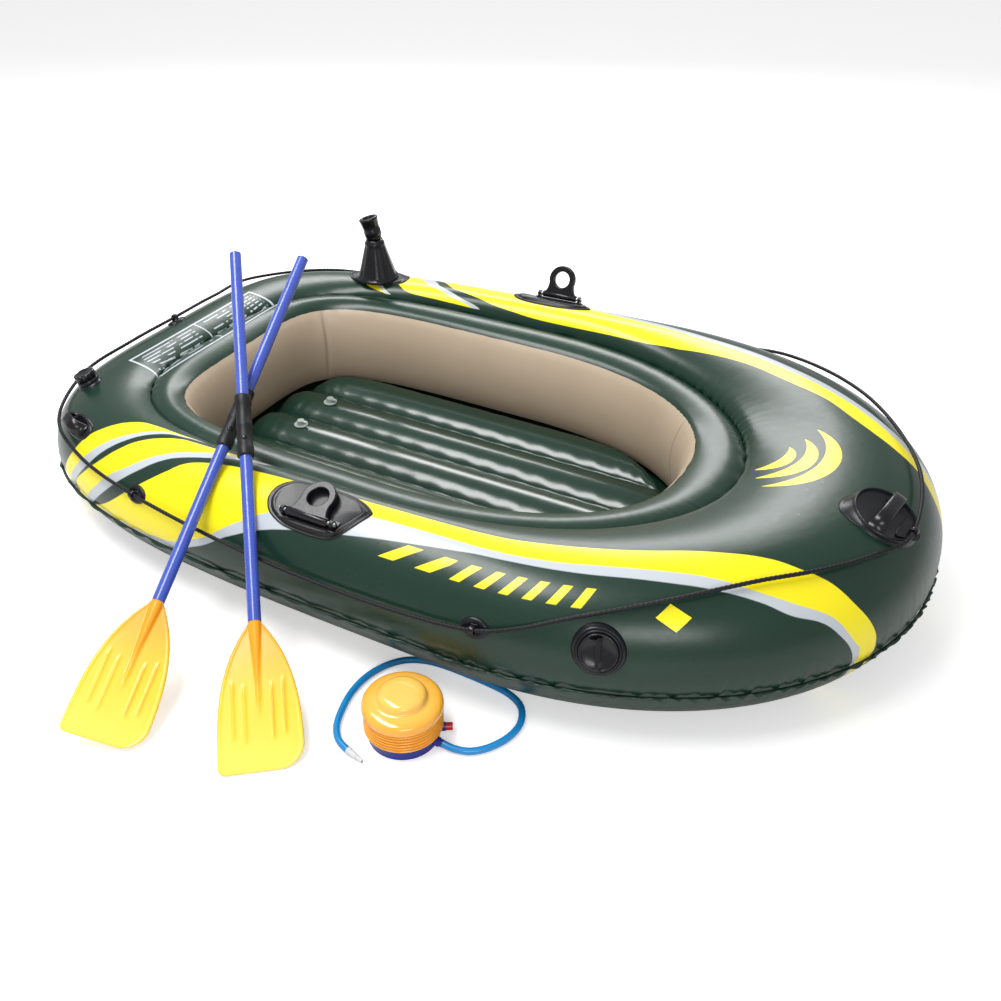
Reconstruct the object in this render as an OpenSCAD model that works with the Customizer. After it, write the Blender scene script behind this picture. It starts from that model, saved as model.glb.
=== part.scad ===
/* [Hull] */
// Length of the hull, bow to stern
hull_l = 1920; // [1500:10:2400]
// Width of the hull over the side tubes
hull_w = 1200; // [960:10:1500]
// Height of the outer tube at the bow
bow_h = 308; // [250:2:370]
// Height of the outer tube at the stern
stern_h = 257; // [242:2:310]
// Width of the side tube, from the outline to the deck weld
side_w = 184; // [170:2:230]
// Length of the bow deck, from the outline to the deck weld
bow_deck = 391; // [300:2:480]
// Length of the stern deck, from the outline to the deck weld
stern_deck = 197; // [180:2:240]
// Width of the inner tube at the sides
inner_side_w = 82; // [60:1:110]
// Width of the inner tube at the bow
inner_bow_w = 108; // [80:1:140]
// Width of the inner tube at the stern
inner_stern_w = 89; // [70:1:120]
// Height of the deck weld above the ground
weld_h = 233; // [190:1:240]
// Height of the cockpit rim above the ground
rim_h = 227; // [180:1:236]
// How far the inner tube's deck rises above the line from weld to rim
lobe_rise = 15; // [5:1:30]
// How far the cockpit wall bulges into the cockpit
wall_bulge = 26; // [10:1:40]
// Thickness of the bottom sheet
sheet_t = 2; // [1:0.5:4]
// Thickness of the cockpit wall sheet
wall_t = 1.2; // [0.8:0.2:3]
// Width of the welded seam that stands out all round
seam_w = 9; // [5:1:14]

/* [Inflated floor] */
// Number of air tubes across the floor
floor_tubes = 5; // [4:1:6]
// Height of the floor tubes
floor_h = 50; // [36:1:60]
// Height of the welds between the floor tubes
floor_weld_h = 27; // [20:1:34]
// Gap between the floor and the cockpit wall
floor_gap = 12; // [11:1:20]

/* [Handles] */
// Radius of the bow handle's pad
bow_pad_r = 70; // [60:1:84]
// Length of the bow handle's bar
bow_bar_l = 116; // [90:1:120]
// Length of the stern handle's bar
stern_bar_l = 74; // [60:1:80]
// Finger height under a handle's bar
finger_h = 24; // [20:1:32]
// Width of a handle's bar
bar_w = 24; // [18:1:30]
// Thickness of a handle's bar
bar_t = 8; // [6:1:10]

/* [Oarlocks] */
// Inner radius of an oarlock ring
ring_bore_r = 20.5; // [17:0.5:24]
// Outer radius of an oarlock ring
ring_r = 35; // [30:1:40]
// Thickness of an oarlock ring
ring_t = 12; // [8:1:16]
// Height of the ring's centre above its hinge pin
ring_rise = 42; // [38:1:56]
// Radius of the oarlock's hinge pin
lock_pin_r = 4; // [3:0.5:5]

/* [Rod holder] */
// Height of the rod holder's cone
cone_h = 107; // [80:1:130]
// Radius of the cone at its foot
cone_foot_r = 56; // [48:1:60]
// Radius of the cone at its neck
cone_neck_r = 22; // [20:1:26]
// Radius of the rod's socket
rod_bore_r = 16.5; // [14:0.5:18]
// Length of the rod's socket
rod_socket_l = 44; // [30:1:60]
// Lean of the rod's socket
rod_lean = 14; // [0:1:25]

/* [Valves] */
// Radius of the side valve's flange
side_flange_r = 46; // [42:1:50]
// Radius of the side valve's cap
side_cap_r = 33; // [28:1:34]
// Radius of the stern valve's flange
stern_flange_r = 27; // [25:1:30]
// Radius of the stern valve's cap
stern_cap_r = 20; // [16:1:21]

/* [Grab line] */
// Diameter of the grab line
rope_d = 8; // [5:0.5:10]

/* [Oars] */
// Length of an oar
oar_l = 1062; // [900:5:1300]
// Outer diameter of an oar's shaft
shaft_d = 24; // [18:1:30]
// Wall of an oar's shaft
shaft_t = 1.5; // [1:0.1:2.5]
// Outer diameter of the joining sleeve
sleeve_d = 33; // [31:1:38]
// Length of the joining sleeve
sleeve_l = 132; // [90:1:160]
// Distance from the blade's tip to the middle of the sleeve
sleeve_at = 655; // [560:5:720]
// Length of an oar's blade
blade_l = 261; // [200:1:300]
// Width of an oar's blade
blade_w = 147; // [110:1:170]
// Thickness of an oar's blade
blade_t = 4; // [3:0.5:6]

/* [Foot pump] */
// Radius of the pump's bellows
pump_r = 71; // [60:1:80]
// Height of the pump's base
base_h = 22; // [20:1:28]
// Height of the pump's bellows
bellows_h = 40; // [36:1:50]
// Height of the pump's top
top_h = 38; // [34:1:46]
// Outer diameter of the pump's hose
hose_d = 13; // [10:0.5:14]

/* [Hidden] */
$fn = 64;

green = "#1f4a36";
beige = "#b3a48f";
black = "#17181c";
oar_yellow = "#f4d21f";
blue = "#3a4fb4";
amber = "#fdbb2c";
navy = "#1f2a8c";

// How fine the hull is: stations round it, and the step of the tube's section in degrees
stations = 96;
section_step = 10;
// Exponents of the plan curves at the bow and at the stern, and where each is widest
outline_n = [2.08, 3.88];
outline_wide = 0.614;
weld_n = [2.04, 3.54];
weld_wide = 0.557;
rim_n = [2.31, 4.66];
rim_wide = 0.539;
wall_foot = 6;      // how far the wall's foot stands inside the rim
wall_foot_h = 38;   // height of the wall's foot
floor_inset = wall_foot + floor_gap;
seam_at = -12;      // angle of the seam on the tube

fit = 0.08;         // radial running clearance
seat = 0.3;         // gap between pieces that only rest on each other
pad_t = 3;
pad_lift = 0.6;     // keeps a flat-sided pad clear of the tube's facets
pad_top = pad_lift + pad_t;

// Places on the outer tube: [angle round the hull, angle on the tube's section]
bow_handle_at = [-8, 70];
stern_handle_at = [-135, 50];
oarlock_at = [104, 68];
rod_holder_at = [127, 90];
side_valve_at = [-67, 23];
stern_valve_at = [-146, 71];
holder_places = [[-84, 21], [-122, 27], [180, 68], [122, 27], [84, 21]];

// ---------- curves of the hull ----------
function unit(v) = v / norm(v);

// A rounded plan curve: x1 at the stern, x2 at the bow, half width b, one exponent for each end
function plan(t, x1, x2, b, n, wide) = let(
    xm = x1 + (x2 - x1) * wide,
    c = cos(t),
    s = sin(t),
    e = c > 0 ? n[0] : n[1],
    r = pow(pow(abs(c), e) + pow(abs(s), e), -1 / e))
    [xm + (c > 0 ? x2 - xm : xm - x1) * c * r, b * s * r];

weld_x1 = -hull_l / 2 + stern_deck;
weld_x2 = hull_l / 2 - bow_deck;
weld_b = hull_w / 2 - side_w;
rim_x1 = weld_x1 + inner_stern_w;
rim_x2 = weld_x2 - inner_bow_w;
rim_b = weld_b - inner_side_w;

function outline(t) = plan(t, -hull_l / 2, hull_l / 2, hull_w / 2, outline_n, outline_wide);
function tube_r(x) = (stern_h + (bow_h - stern_h) * (x / hull_l + 0.5) - sheet_t) / 2;

// The sections through the tubes all point at a box inside the cockpit, so no two of them cross
core_x1 = rim_x1 + 230;
core_x2 = rim_x2 - 161;
core_y = 0.36 * rim_b;
function inward(t) = let(o = outline(t))
    unit([max(core_x1, min(core_x2, o.x)), max(-core_y, min(core_y, o.y))] - o);

// How far out a point is as a share of a plan curve: 1 on the curve itself
function share(q, x1, x2, b, n, wide) = let(
    xm = x1 + (x2 - x1) * wide,
    u = q.x > xm ? (q.x - xm) / (x2 - xm) : (xm - q.x) / (xm - x1),
    e = q.x > xm ? n[0] : n[1])
    pow(pow(u, e) + pow(abs(q.y) / b, e), 1 / e);
function weld_share(q) = share(q, weld_x1, weld_x2, weld_b, weld_n, weld_wide);
function rim_share(q) = share(q, rim_x1, rim_x2, rim_b, rim_n, rim_wide);

// How far it is from the outline to the weld or the rim along a section, by the secant method
function to_weld(o, d, s0, g0, s1, k) = let(g1 = weld_share(o + d * s1) - 1)
    k == 0 || abs(g1) < 0.00001 ? s1 : to_weld(o, d, s1, g1, s1 - g1 * (s1 - s0) / (g1 - g0), k - 1);
function to_rim(o, d, s0, g0, s1, k) = let(g1 = rim_share(o + d * s1) - 1)
    k == 0 || abs(g1) < 0.00001 ? s1 : to_rim(o, d, s1, g1, s1 - g1 * (s1 - s0) / (g1 - g0), k - 1);
function weld_in(t) = let(o = outline(t), d = inward(t)) to_weld(o, d, 0, weld_share(o) - 1, side_w, 8);
function rim_in(t) = let(o = outline(t), d = inward(t))
    to_rim(o, d, 0, rim_share(o) - 1, side_w + inner_side_w, 8);

// The tube is round square to its outline, so a slanting section cuts it wider
function cut_r(t) = let(v = outline(t + 0.5) - outline(t - 0.5), d = inward(t))
    tube_r(outline(t).x) * norm(v) / (d.y * v.x - d.x * v.y);

// A point on the outer tube: 0 faces outwards, 90 is the top, 180 is the deck weld
function skin(t, a) = let(
    o = outline(t),
    d = inward(t),
    r = tube_r(o.x),
    c = cut_r(t),
    x = a <= 90 ? c - c * cos(a) : c - (weld_in(t) - c) * cos(a),
    z = a <= 90 ? sheet_t + r + r * sin(a) : weld_h + (sheet_t + 2 * r - weld_h) * sin(a))
    [o.x + d.x * x, o.y + d.y * x, z];

function along(t, a) = unit(skin(t + 0.5, a) - skin(t - 0.5, a));
function up_slope(t, a) = unit(skin(t, a + 0.5) - skin(t, a - 0.5));
function outward(t, a) = unit(cross(along(t, a), up_slope(t, a)));
function off_skin(t, a, h) = skin(t, a) + outward(t, a) * h;

// Places children on the tube: X along it, Y up its section, Z out of it
module on_tube(at, h = 0) {
    x = along(at[0], at[1]);
    z = outward(at[0], at[1]);
    y = cross(z, x);
    p = skin(at[0], at[1]) + z * h;
    multmatrix([[x.x, y.x, z.x, p.x], [x.y, y.y, z.y, p.y], [x.z, y.z, z.z, p.z], [0, 0, 0, 1]]) children();
}

// ---------- meshes ----------
// A closed solid through a row of outlines that all have as many points
module loft(rings, loop = false) {
    n = len(rings);
    m = len(rings[0]);
    sides = [for (i = [0:n - (loop ? 1 : 2)], j = [0:m - 1]) let(
        a = i * m + j,
        b = i * m + (j + 1) % m,
        c = (i + 1) % n * m + (j + 1) % m,
        d = (i + 1) % n * m + j) each [[a, b, c], [a, c, d]]];
    caps = loop ? [] : [[for (j = [m - 1:-1:0]) j], [for (j = [0:m - 1]) (n - 1) * m + j]];
    polyhedron([for (r = rings) each r], concat(sides, caps), convexity = 6);
}

// The circle of a cord at p, square to the direction d, with its first point towards u
function cord_ring(p, d, u, r, sides) = let(
    e2 = unit(cross(d, u)),
    e1 = cross(e2, d))
    [for (k = [0:sides - 1]) p + r * (cos(k * 360 / sides) * e1 - sin(k * 360 / sides) * e2)];

// A point between q and r on a smooth line that comes from p and goes on to s
function bend(p, q, r, s, u) =
    0.5 * ((2 * q) + (r - p) * u + (2 * p - 5 * q + 4 * r - s) * u * u + (3 * q - p - 3 * r + s) * u * u * u);

// A smooth line through points, with a number of steps between each two
function smooth(pts, steps, loop) = let(n = len(pts), last = loop ? n - 1 : n - 2)
    [for (i = [0:last], k = [0:steps - 1]) bend(
        pts[loop ? (i + n - 1) % n : max(i - 1, 0)], pts[i],
        pts[loop ? (i + 1) % n : i + 1], pts[loop ? (i + 2) % n : min(i + 2, n - 1)], k / steps)];

// A pad that follows the tube: half lengths a and b, corner exponent e, flat over a share of it
module pad(at, a, b, e, flat_share, spokes = 24, inner = 3) {
    shares = concat([for (k = [1:inner]) k / inner * flat_share], [(1 + flat_share) / 2, 1]);
    per_t = norm(skin(at[0] + 0.5, at[1]) - skin(at[0] - 0.5, at[1]));
    per_a = norm(skin(at[0], at[1] + 0.5) - skin(at[0], at[1] - 0.5));
    x = along(at[0], at[1]);
    z = outward(at[0], at[1]);
    y = cross(z, x);
    p = skin(at[0], at[1]) + z * pad_top;
    rim_at = [for (k = [0:spokes - 1]) let(
        c = cos(k * 360 / spokes),
        s = sin(k * 360 / spokes),
        r = pow(pow(abs(c), e) + pow(abs(s), e), -1 / e)) [a * c * r, b * s * r]];
    function low(q) = off_skin(at[0] + q[0] / per_t, at[1] + q[1] / per_a, pad_lift);
    function high(q, h) = off_skin(at[0] + q[0] / per_t, at[1] + q[1] / per_a, h);
    tops = [for (s = shares) [for (q = rim_at)
        s <= flat_share ? p + x * q[0] * s + y * q[1] * s : high(q * s, s < 1 ? pad_top : pad_lift + 1.2)]];
    bottoms = [for (s = shares) [for (q = rim_at) low(q * s)]];
    loops = concat(tops, [for (i = [len(shares) - 1:-1:0]) bottoms[i]]);
    n = len(loops);
    pts = concat([for (r = loops) each r], [p, low([0, 0])]);
    sides = [for (i = [0:n - 2], k = [0:spokes - 1]) let(
        k2 = (k + 1) % spokes,
        q = i * spokes) each [[q + k, q + spokes + k, q + spokes + k2], [q + k, q + spokes + k2, q + k2]]];
    lid = [for (k = [0:spokes - 1]) [n * spokes, k, (k + 1) % spokes]];
    sole = [for (k = [0:spokes - 1]) [n * spokes + 1, (n - 1) * spokes + (k + 1) % spokes, (n - 1) * spokes + k]];
    polyhedron(pts, [for (f = concat(sides, lid, sole)) [f[2], f[1], f[0]]], convexity = 6);
}

// ---------- hull ----------
turn = 360 / stations;
function section_pt(t, x, z) = let(q = outline(t) + inward(t) * x) [q.x, q.y, z];

module bottom_sheet() {
    color(green) linear_extrude(sheet_t) polygon([for (i = [0:stations - 1]) let(
        t = i * turn) outline(t) + inward(t) * cut_r(t) * 0.7]);
}

module outer_chamber() {
    color(green) loft([for (i = [0:stations - 1]) let(t = i * turn, w = section_pt(t, weld_in(t), 0)) concat(
        [for (a = [-90:section_step:90]) skin(t, a)],
        [for (a = [90 + section_step:section_step:180 - section_step]) skin(t, a)],
        [[w.x, w.y, weld_h], [w.x, w.y, sheet_t]])], loop = true);
}

// The cockpit wall's profile, from the rim down to the foot: [inwards from the rim, height]
wall_steps = 6;
wall_profile = [for (k = [0:wall_steps]) let(s = k / wall_steps)
    [wall_bulge * pow(sin(180 * pow(s, 0.85)), 0.8) + wall_foot * s, rim_h + (wall_foot_h - rim_h) * s]];

function inner_pt(t, inwards, z) = section_pt(t, rim_in(t) + inwards, z);

lobe_steps = 7;
module inner_chamber() {
    color(green) loft([for (i = [0:stations - 1]) let(t = i * turn, w = weld_in(t), r = rim_in(t)) concat(
        [section_pt(t, w, sheet_t), section_pt(t, w, weld_h)],
        [for (k = [1:lobe_steps - 1]) let(s = k / lobe_steps) section_pt(t, w + (r - w) * s,
            weld_h + (rim_h - weld_h) * s + lobe_rise * pow(sin(180 * s), 0.7))],
        [for (p = wall_profile) inner_pt(t, p[0], p[1])],
        [inner_pt(t, wall_foot, sheet_t)])], loop = true);
}

module cockpit_wall() {
    color(beige) loft([for (i = [0:stations - 1]) let(t = i * turn) concat(
        [for (k = [wall_steps:-1:0]) inner_pt(t, wall_profile[k][0] + seat, wall_profile[k][1])],
        [for (p = wall_profile) inner_pt(t, p[0] + seat + wall_t, p[1])])], loop = true);
}

// Where the floor's edge crosses a line at y: k is -1 at the stern, 1 at the bow
function floor_x(y, k) = let(
    x1 = rim_x1 + floor_inset,
    x2 = rim_x2 - floor_inset,
    xm = rim_x1 + (rim_x2 - rim_x1) * rim_wide,
    e = rim_n[k > 0 ? 0 : 1],
    u = pow(max(0, 1 - pow(abs(y) / (rim_b - floor_inset), e)), 1 / e))
    xm + k * (k > 0 ? x2 - xm : xm - x1) * u;

floor_half = (rim_b - floor_inset) * 0.985;
floor_tube_w = 2 * floor_half / floor_tubes;
floor_rows = 8;
floor_end = [[0, 0], [0.02, 0.45], [0.05, 0.8], [0.1, 1], [0.5, 1], [0.9, 1], [0.95, 0.8], [0.98, 0.45], [1, 0]];

function floor_z(y) = let(u = ((y + floor_half) / floor_tube_w) % 1)
    floor_weld_h + (floor_h - floor_weld_h) * sqrt(max(0, sin(180 * u)));

module floor_mat() {
    rows = floor_tubes * floor_rows;
    color(green) loft([for (i = [0:rows]) let(
        y = -floor_half + 2 * floor_half * i / rows,
        x1 = floor_x(y, -1),
        x2 = floor_x(y, 1),
        edge = min(1, (floor_half - abs(y)) / 20 + 0.4)) concat(
        [[x1, y, sheet_t], [x2, y, sheet_t]],
        [for (k = [len(floor_end) - 1:-1:0]) [x1 + (x2 - x1) * floor_end[k][0], y,
            floor_weld_h * 0.7 + (floor_z(y) - floor_weld_h * 0.7) * floor_end[k][1] * edge]])]);
}

module seam_flange() {
    color(green) loft([for (i = [0:stations - 1]) let(t = i * turn) [
        off_skin(t, seam_at - 0.4, 0.3), off_skin(t, seam_at - 0.4, seam_w),
        off_skin(t, seam_at + 0.4, seam_w), off_skin(t, seam_at + 0.4, 0.3)]], loop = true);
}

// ---------- handles ----------
module bow_handle_pad() { color(black) pad(bow_handle_at, bow_pad_r, bow_pad_r, 2, 0.86); }
module stern_handle_pad() { color(black) pad(stern_handle_at, stern_bar_l / 2 + 12, bar_w / 2 + 14, 2.4, 0.86); }

// An arched bar on two feet, with room for fingers under it
module grab_bar(l) {
    foot = 14;
    steps = 10;
    rise = finger_h + bar_t;
    top = [for (k = [0:steps]) let(u = k / steps * 2 - 1) [u * l / 2, rise * pow(1 - pow(abs(u), 4), 0.5)]];
    hollow = [for (k = [steps:-1:0]) let(u = k / steps * 2 - 1)
        [u * (l / 2 - foot), finger_h * pow(1 - pow(abs(u), 4), 0.5)]];
    rotate([90, 0, 0]) translate([0, 0, -bar_w / 2]) linear_extrude(bar_w) polygon(concat(top, hollow));
}

module bow_handle() {
    color(black) on_tube(bow_handle_at, pad_top) grab_bar(bow_bar_l);
}
module stern_handle() {
    color(black) on_tube(stern_handle_at, pad_top) grab_bar(stern_bar_l);
}

// ---------- oarlocks ----------
lock_pad_l = 108;
lock_pad_w = 54;
lock_pin_l = 124;
lock_pin_y = -28;     // the hinge lies towards the outside of the pad
lock_pin_h = 11;      // height of the hinge above the pad
lock_ear_t = 7;
lock_ear_x = 48;
lock_barrel_r = 8;

// Turns the fittings of the port side over to the starboard side
module side(port) {
    if (port) on_tube(oarlock_at, pad_top) children();
    else mirror([0, 1, 0]) on_tube(oarlock_at, pad_top) children();
}

module oarlock_pad(port) {
    color(black) pad([port ? oarlock_at[0] : -oarlock_at[0], oarlock_at[1]], lock_pad_l, lock_pad_w, 2.8, 0.8);
}

module oarlock_base(port) {
    color(black) side(port) translate([0, lock_pin_y, 0]) difference() {
        union() {
            translate([-lock_pin_l / 2, -12, 0]) cube([lock_pin_l, 24, 2.5]);
            for (k = [-1, 1]) translate([k * (lock_ear_x + lock_ear_t) - lock_ear_t / 2, 0, 0]) {
                translate([0, -7, 0]) cube([lock_ear_t, 14, lock_pin_h]);
                translate([0, 0, lock_pin_h]) rotate([0, 90, 0]) cylinder(h = lock_ear_t, r = 7);
            }
        }
        translate([-lock_pin_l, 0, lock_pin_h]) rotate([0, 90, 0]) cylinder(h = 2 * lock_pin_l, r = lock_pin_r + fit);
    }
}

module oarlock_pin(port) {
    color("silver") side(port) translate([-lock_pin_l / 2, lock_pin_y, lock_pin_h])
        rotate([0, 90, 0]) cylinder(h = lock_pin_l, r = lock_pin_r);
}

// The ring stands up on the port side and lies folded inwards on the starboard side
module oarlock_ring(port) {
    foot = lock_ear_x - 2;
    steps = 8;
    flare = [for (k = [0:steps]) let(u = k / steps) [ring_r * 0.8 + (foot - ring_r * 0.8) * pow(1 - u, 2.2),
        ring_rise * 0.8 * u]];
    color(black) side(port) translate([0, lock_pin_y, lock_pin_h]) rotate([port ? 0 : -90, 0, 0]) difference() {
        union() {
            rotate([90, 0, 0]) translate([0, 0, -ring_t / 2]) linear_extrude(ring_t) polygon(concat(flare,
                [for (k = [steps:-1:0]) [-flare[k][0], flare[k][1]]]));
            translate([0, ring_t / 2, ring_rise]) rotate([90, 0, 0]) cylinder(h = ring_t, r = ring_r);
            translate([-foot, 0, 0]) rotate([0, 90, 0]) cylinder(h = 2 * foot, r = lock_barrel_r);
        }
        translate([0, ring_t, ring_rise]) rotate([90, 0, 0]) cylinder(h = 2 * ring_t, r = ring_bore_r);
        translate([-foot - 1, 0, 0]) rotate([0, 90, 0]) cylinder(h = 2 * foot + 2, r = lock_pin_r + fit);
    }
}

// ---------- rod holder ----------
stem_r = 13;
stem_l = 40;
module rod_holder_pad() { color(black) pad(rod_holder_at, cone_foot_r + 26, cone_foot_r + 4, 2.2, 0.95, inner = 4); }

module rod_holder_cone() {
    color(black) on_tube(rod_holder_at, pad_top) difference() {
        rotate_extrude() polygon([[0, 0], [cone_foot_r, 0], [cone_foot_r, 5], [cone_foot_r - 6, 9],
            [cone_neck_r + 3, cone_h - 10], [cone_neck_r, cone_h - 4], [cone_neck_r, cone_h], [0, cone_h]]);
        translate([0, 0, cone_h - stem_l - 2]) cylinder(h = stem_l + 3, r = stem_r + fit);
        translate([0, 0, -1]) cylinder(h = cone_h - stem_l - 14, r1 = cone_foot_r - 8, r2 = cone_neck_r - 4);
    }
}

module rod_holder_head() {
    socket_r = rod_bore_r + 6;
    color(black) on_tube(rod_holder_at, pad_top + cone_h) difference() {
        union() {
            translate([0, 0, -stem_l]) cylinder(h = stem_l + 6, r = stem_r);
            translate([0, 0, seat]) cylinder(h = 8, r1 = 17, r2 = stem_r + 5);
            translate([0, 0, 6]) rotate([0, rod_lean, 0]) {
                cylinder(h = rod_socket_l + 6, r = socket_r);
                translate([0, 0, rod_socket_l]) cylinder(h = 8, r = socket_r + 2.5);
            }
        }
        translate([0, 0, 6]) rotate([0, rod_lean, 0]) translate([0, 0, 6])
            cylinder(h = rod_socket_l + 10, r = rod_bore_r);
    }
}

// ---------- valves ----------
module valve_body(r, h) {
    difference() {
        cylinder(h = h, r = r + 5);
        translate([0, 0, 3]) cylinder(h = h, r = r + fit + 0.4);
        translate([0, 0, -1]) cylinder(h = 5, r = r * 0.36);
    }
}
module valve_flap(r) { translate([0, 0, 3 + seat]) cylinder(h = 1, r = r * 0.46); }

module side_valve_pad() { color(black) pad(side_valve_at, side_flange_r, side_flange_r, 2, 0.86); }
module side_valve_body() { color(black) on_tube(side_valve_at, pad_top) valve_body(side_cap_r, 9); }
module side_valve_flap() { color("dimgray") on_tube(side_valve_at, pad_top) valve_flap(side_cap_r); }
module side_valve_cap() {
    color(black) on_tube(side_valve_at, pad_top + 5) {
        cylinder(h = 7, r = side_cap_r);
        translate([-3.5, -side_cap_r + 6, 6]) cube([7, 2 * side_cap_r - 12, 9]);
    }
}

module stern_valve_pad() { color(black) pad(stern_valve_at, stern_flange_r, stern_flange_r, 2, 0.9); }
module stern_valve_body() { color(black) on_tube(stern_valve_at, pad_top) valve_body(stern_cap_r - 1, 10); }
module stern_valve_flap() { color("dimgray") on_tube(stern_valve_at, pad_top) valve_flap(stern_cap_r); }
module stern_valve_cap() {
    color(black) on_tube(stern_valve_at, pad_top + 5) {
        cylinder(h = 12, r = stern_cap_r - 1);
        translate([0, 0, 6]) difference() {
            cylinder(h = 16, r = stern_cap_r + 4);
            for (k = [0:5]) rotate([0, 0, k * 60]) translate([stern_cap_r + 8, 0, -1]) cylinder(h = 20, r = 6.5);
        }
    }
}

floor_valve_x = -518;
module at_floor_valve(tube) {
    y = tube * floor_tube_w;
    translate([floor_valve_x, y, floor_z(y) + seat]) children();
}
module floor_valves() {
    color("gainsboro") for (tube = [0, 1]) at_floor_valve(tube) difference() {
        union() {
            cylinder(h = 1.5, r = 17);
            cylinder(h = 9, r = 9);
        }
        translate([0, 0, -1]) cylinder(h = 12, r = 6);
    }
}
module floor_plug(tube) {
    color("gainsboro") at_floor_valve(tube) translate([0, 0, 9 + seat]) {
        cylinder(h = 3, r = 8.5);
        translate([0, 0, -7]) cylinder(h = 7, r = 6 - fit);
        translate([6, -4, 0]) cube([12, 8, 2]);
    }
}

// ---------- grab line ----------
eye_r = rope_d / 2 + 4;
eye_h = eye_r + seat;
rope_lift = pad_top + eye_h;
bow_lug_y = -54;
rope_route = [[-20, 57], [-31, 62], [-42, 64], [-57, 56], [-71, 41], [-78, 29], [-84, 21], [-92, 17], [-101, 16],
    [-111, 20], [-122, 27], [-131, 32], [-140, 38], [-152, 54], [-166, 66], [-180, 68], [-194, 67], [-209, 62],
    [-226, 46], [-238, 27], [-249, 20], [-260, 17], [-276, 21], [-296, 48], [-320, 60], [-348, 60]];
bow_lug = let(x = along(bow_handle_at[0], bow_handle_at[1]), z = outward(bow_handle_at[0], bow_handle_at[1]))
    skin(bow_handle_at[0], bow_handle_at[1]) + cross(z, x) * bow_lug_y + z * (pad_top + eye_h);
rope_ups = concat([outward(bow_handle_at[0], bow_handle_at[1])], [for (p = rope_route) outward(p[0], p[1])]);

module grab_line() {
    steps = 3;
    line = smooth(concat([bow_lug], [for (p = rope_route) off_skin(p[0], p[1], rope_lift)]), steps, true);
    n = len(line);
    color(black) loft([for (i = [0:n - 1]) cord_ring(line[i], unit(line[(i + 1) % n] - line[(i + n - 1) % n]),
        rope_ups[round(i / steps) % len(rope_ups)], rope_d / 2, 8)], loop = true);
}

module rope_holder_pads() {
    for (p = holder_places) color(black) pad(p, 26, 19, 2, 0.6, 16, 1);
}
module rope_eye(l) {
    difference() {
        union() {
            translate([-l / 2, -eye_r, 0]) cube([l, 2 * eye_r, eye_h]);
            translate([-l / 2, 0, eye_h]) rotate([0, 90, 0]) cylinder(h = l, r = eye_r);
        }
        translate([-l, 0, eye_h]) rotate([0, 90, 0]) cylinder(h = 2 * l, r = rope_d / 2 + 1.6);
    }
}
module rope_holder_eyes() {
    color(black) {
        for (p = holder_places) on_tube(p, pad_top) rope_eye(10);
        on_tube(bow_handle_at, pad_top) translate([0, bow_lug_y, 0]) rope_eye(10);
    }
}

// ---------- oars ----------
blade_stem_l = 46;
stem_fit_r = shaft_d / 2 - shaft_t - fit;
gap_at_sleeve = 2;
lower_oar_tip = [-225, -373];   // from the hull's middle and its starboard side
lower_oar_heading = 101.7;
lower_oar_roll = 20;
upper_oar_tip = [49, -279];
upper_oar_heading = 127.9;
upper_oar_roll = 0;

// Height of an oar's axis at the tip when the blade's lower corner is on the ground
function tip_h(roll, tilt) = (blade_w * 0.42 * sin(abs(roll)) + blade_t / 2 + 0.5) * cos(tilt);

// The steepness at which a shaft that starts at p, with a heading, just clears the side tube: the steepest
// line of sight to the tube's skin, offset by the shaft, where it crosses the upright plane of the oar
function ahead(q, heading) = q.x * cos(heading) + q.y * sin(heading);
function aside(q, heading) = q.y * cos(heading) - q.x * sin(heading);
function lean(p, heading) = max([for (a = [20:3:110], t = [-140:1:-85]) let(
    h = shaft_d / 2 + seat + 0.2,
    q1 = off_skin(t, a, h) - p,
    q2 = off_skin(t + 1, a, h) - p,
    s1 = aside(q1, heading),
    s2 = aside(q2, heading),
    q = q1 + (q2 - q1) * s1 / (s1 - s2))
    s1 * s2 <= 0 ? atan2(q.z, ahead(q, heading)) : 0]);

function oar_start(tip, h) = [tip[0], -hull_w / 2 + tip[1], h];
first_lower = lean(oar_start(lower_oar_tip, 25), lower_oar_heading);
lower_start = oar_start(lower_oar_tip, tip_h(lower_oar_roll, first_lower));
lower_tilt = lean(lower_start, lower_oar_heading);
upper_start = oar_start(upper_oar_tip, tip_h(upper_oar_roll, first_lower));
upper_tilt = lean(upper_start, upper_oar_heading);

// Lays an oar down: X runs from the blade's tip to the grip, Y across the blade
module lay_oar(upper) {
    translate(upper ? upper_start : lower_start)
        rotate([0, 0, upper ? upper_oar_heading : lower_oar_heading])
            rotate([0, -(upper ? upper_tilt : lower_tilt), 0])
                rotate([upper ? upper_oar_roll : lower_oar_roll, 0, 0]) children();
}

// Half the blade's width at a share of its length from the neck
function blade_half(u) = 10 + (blade_w / 2 - 10) * (1 - pow(1 - u, 3.2));

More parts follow.
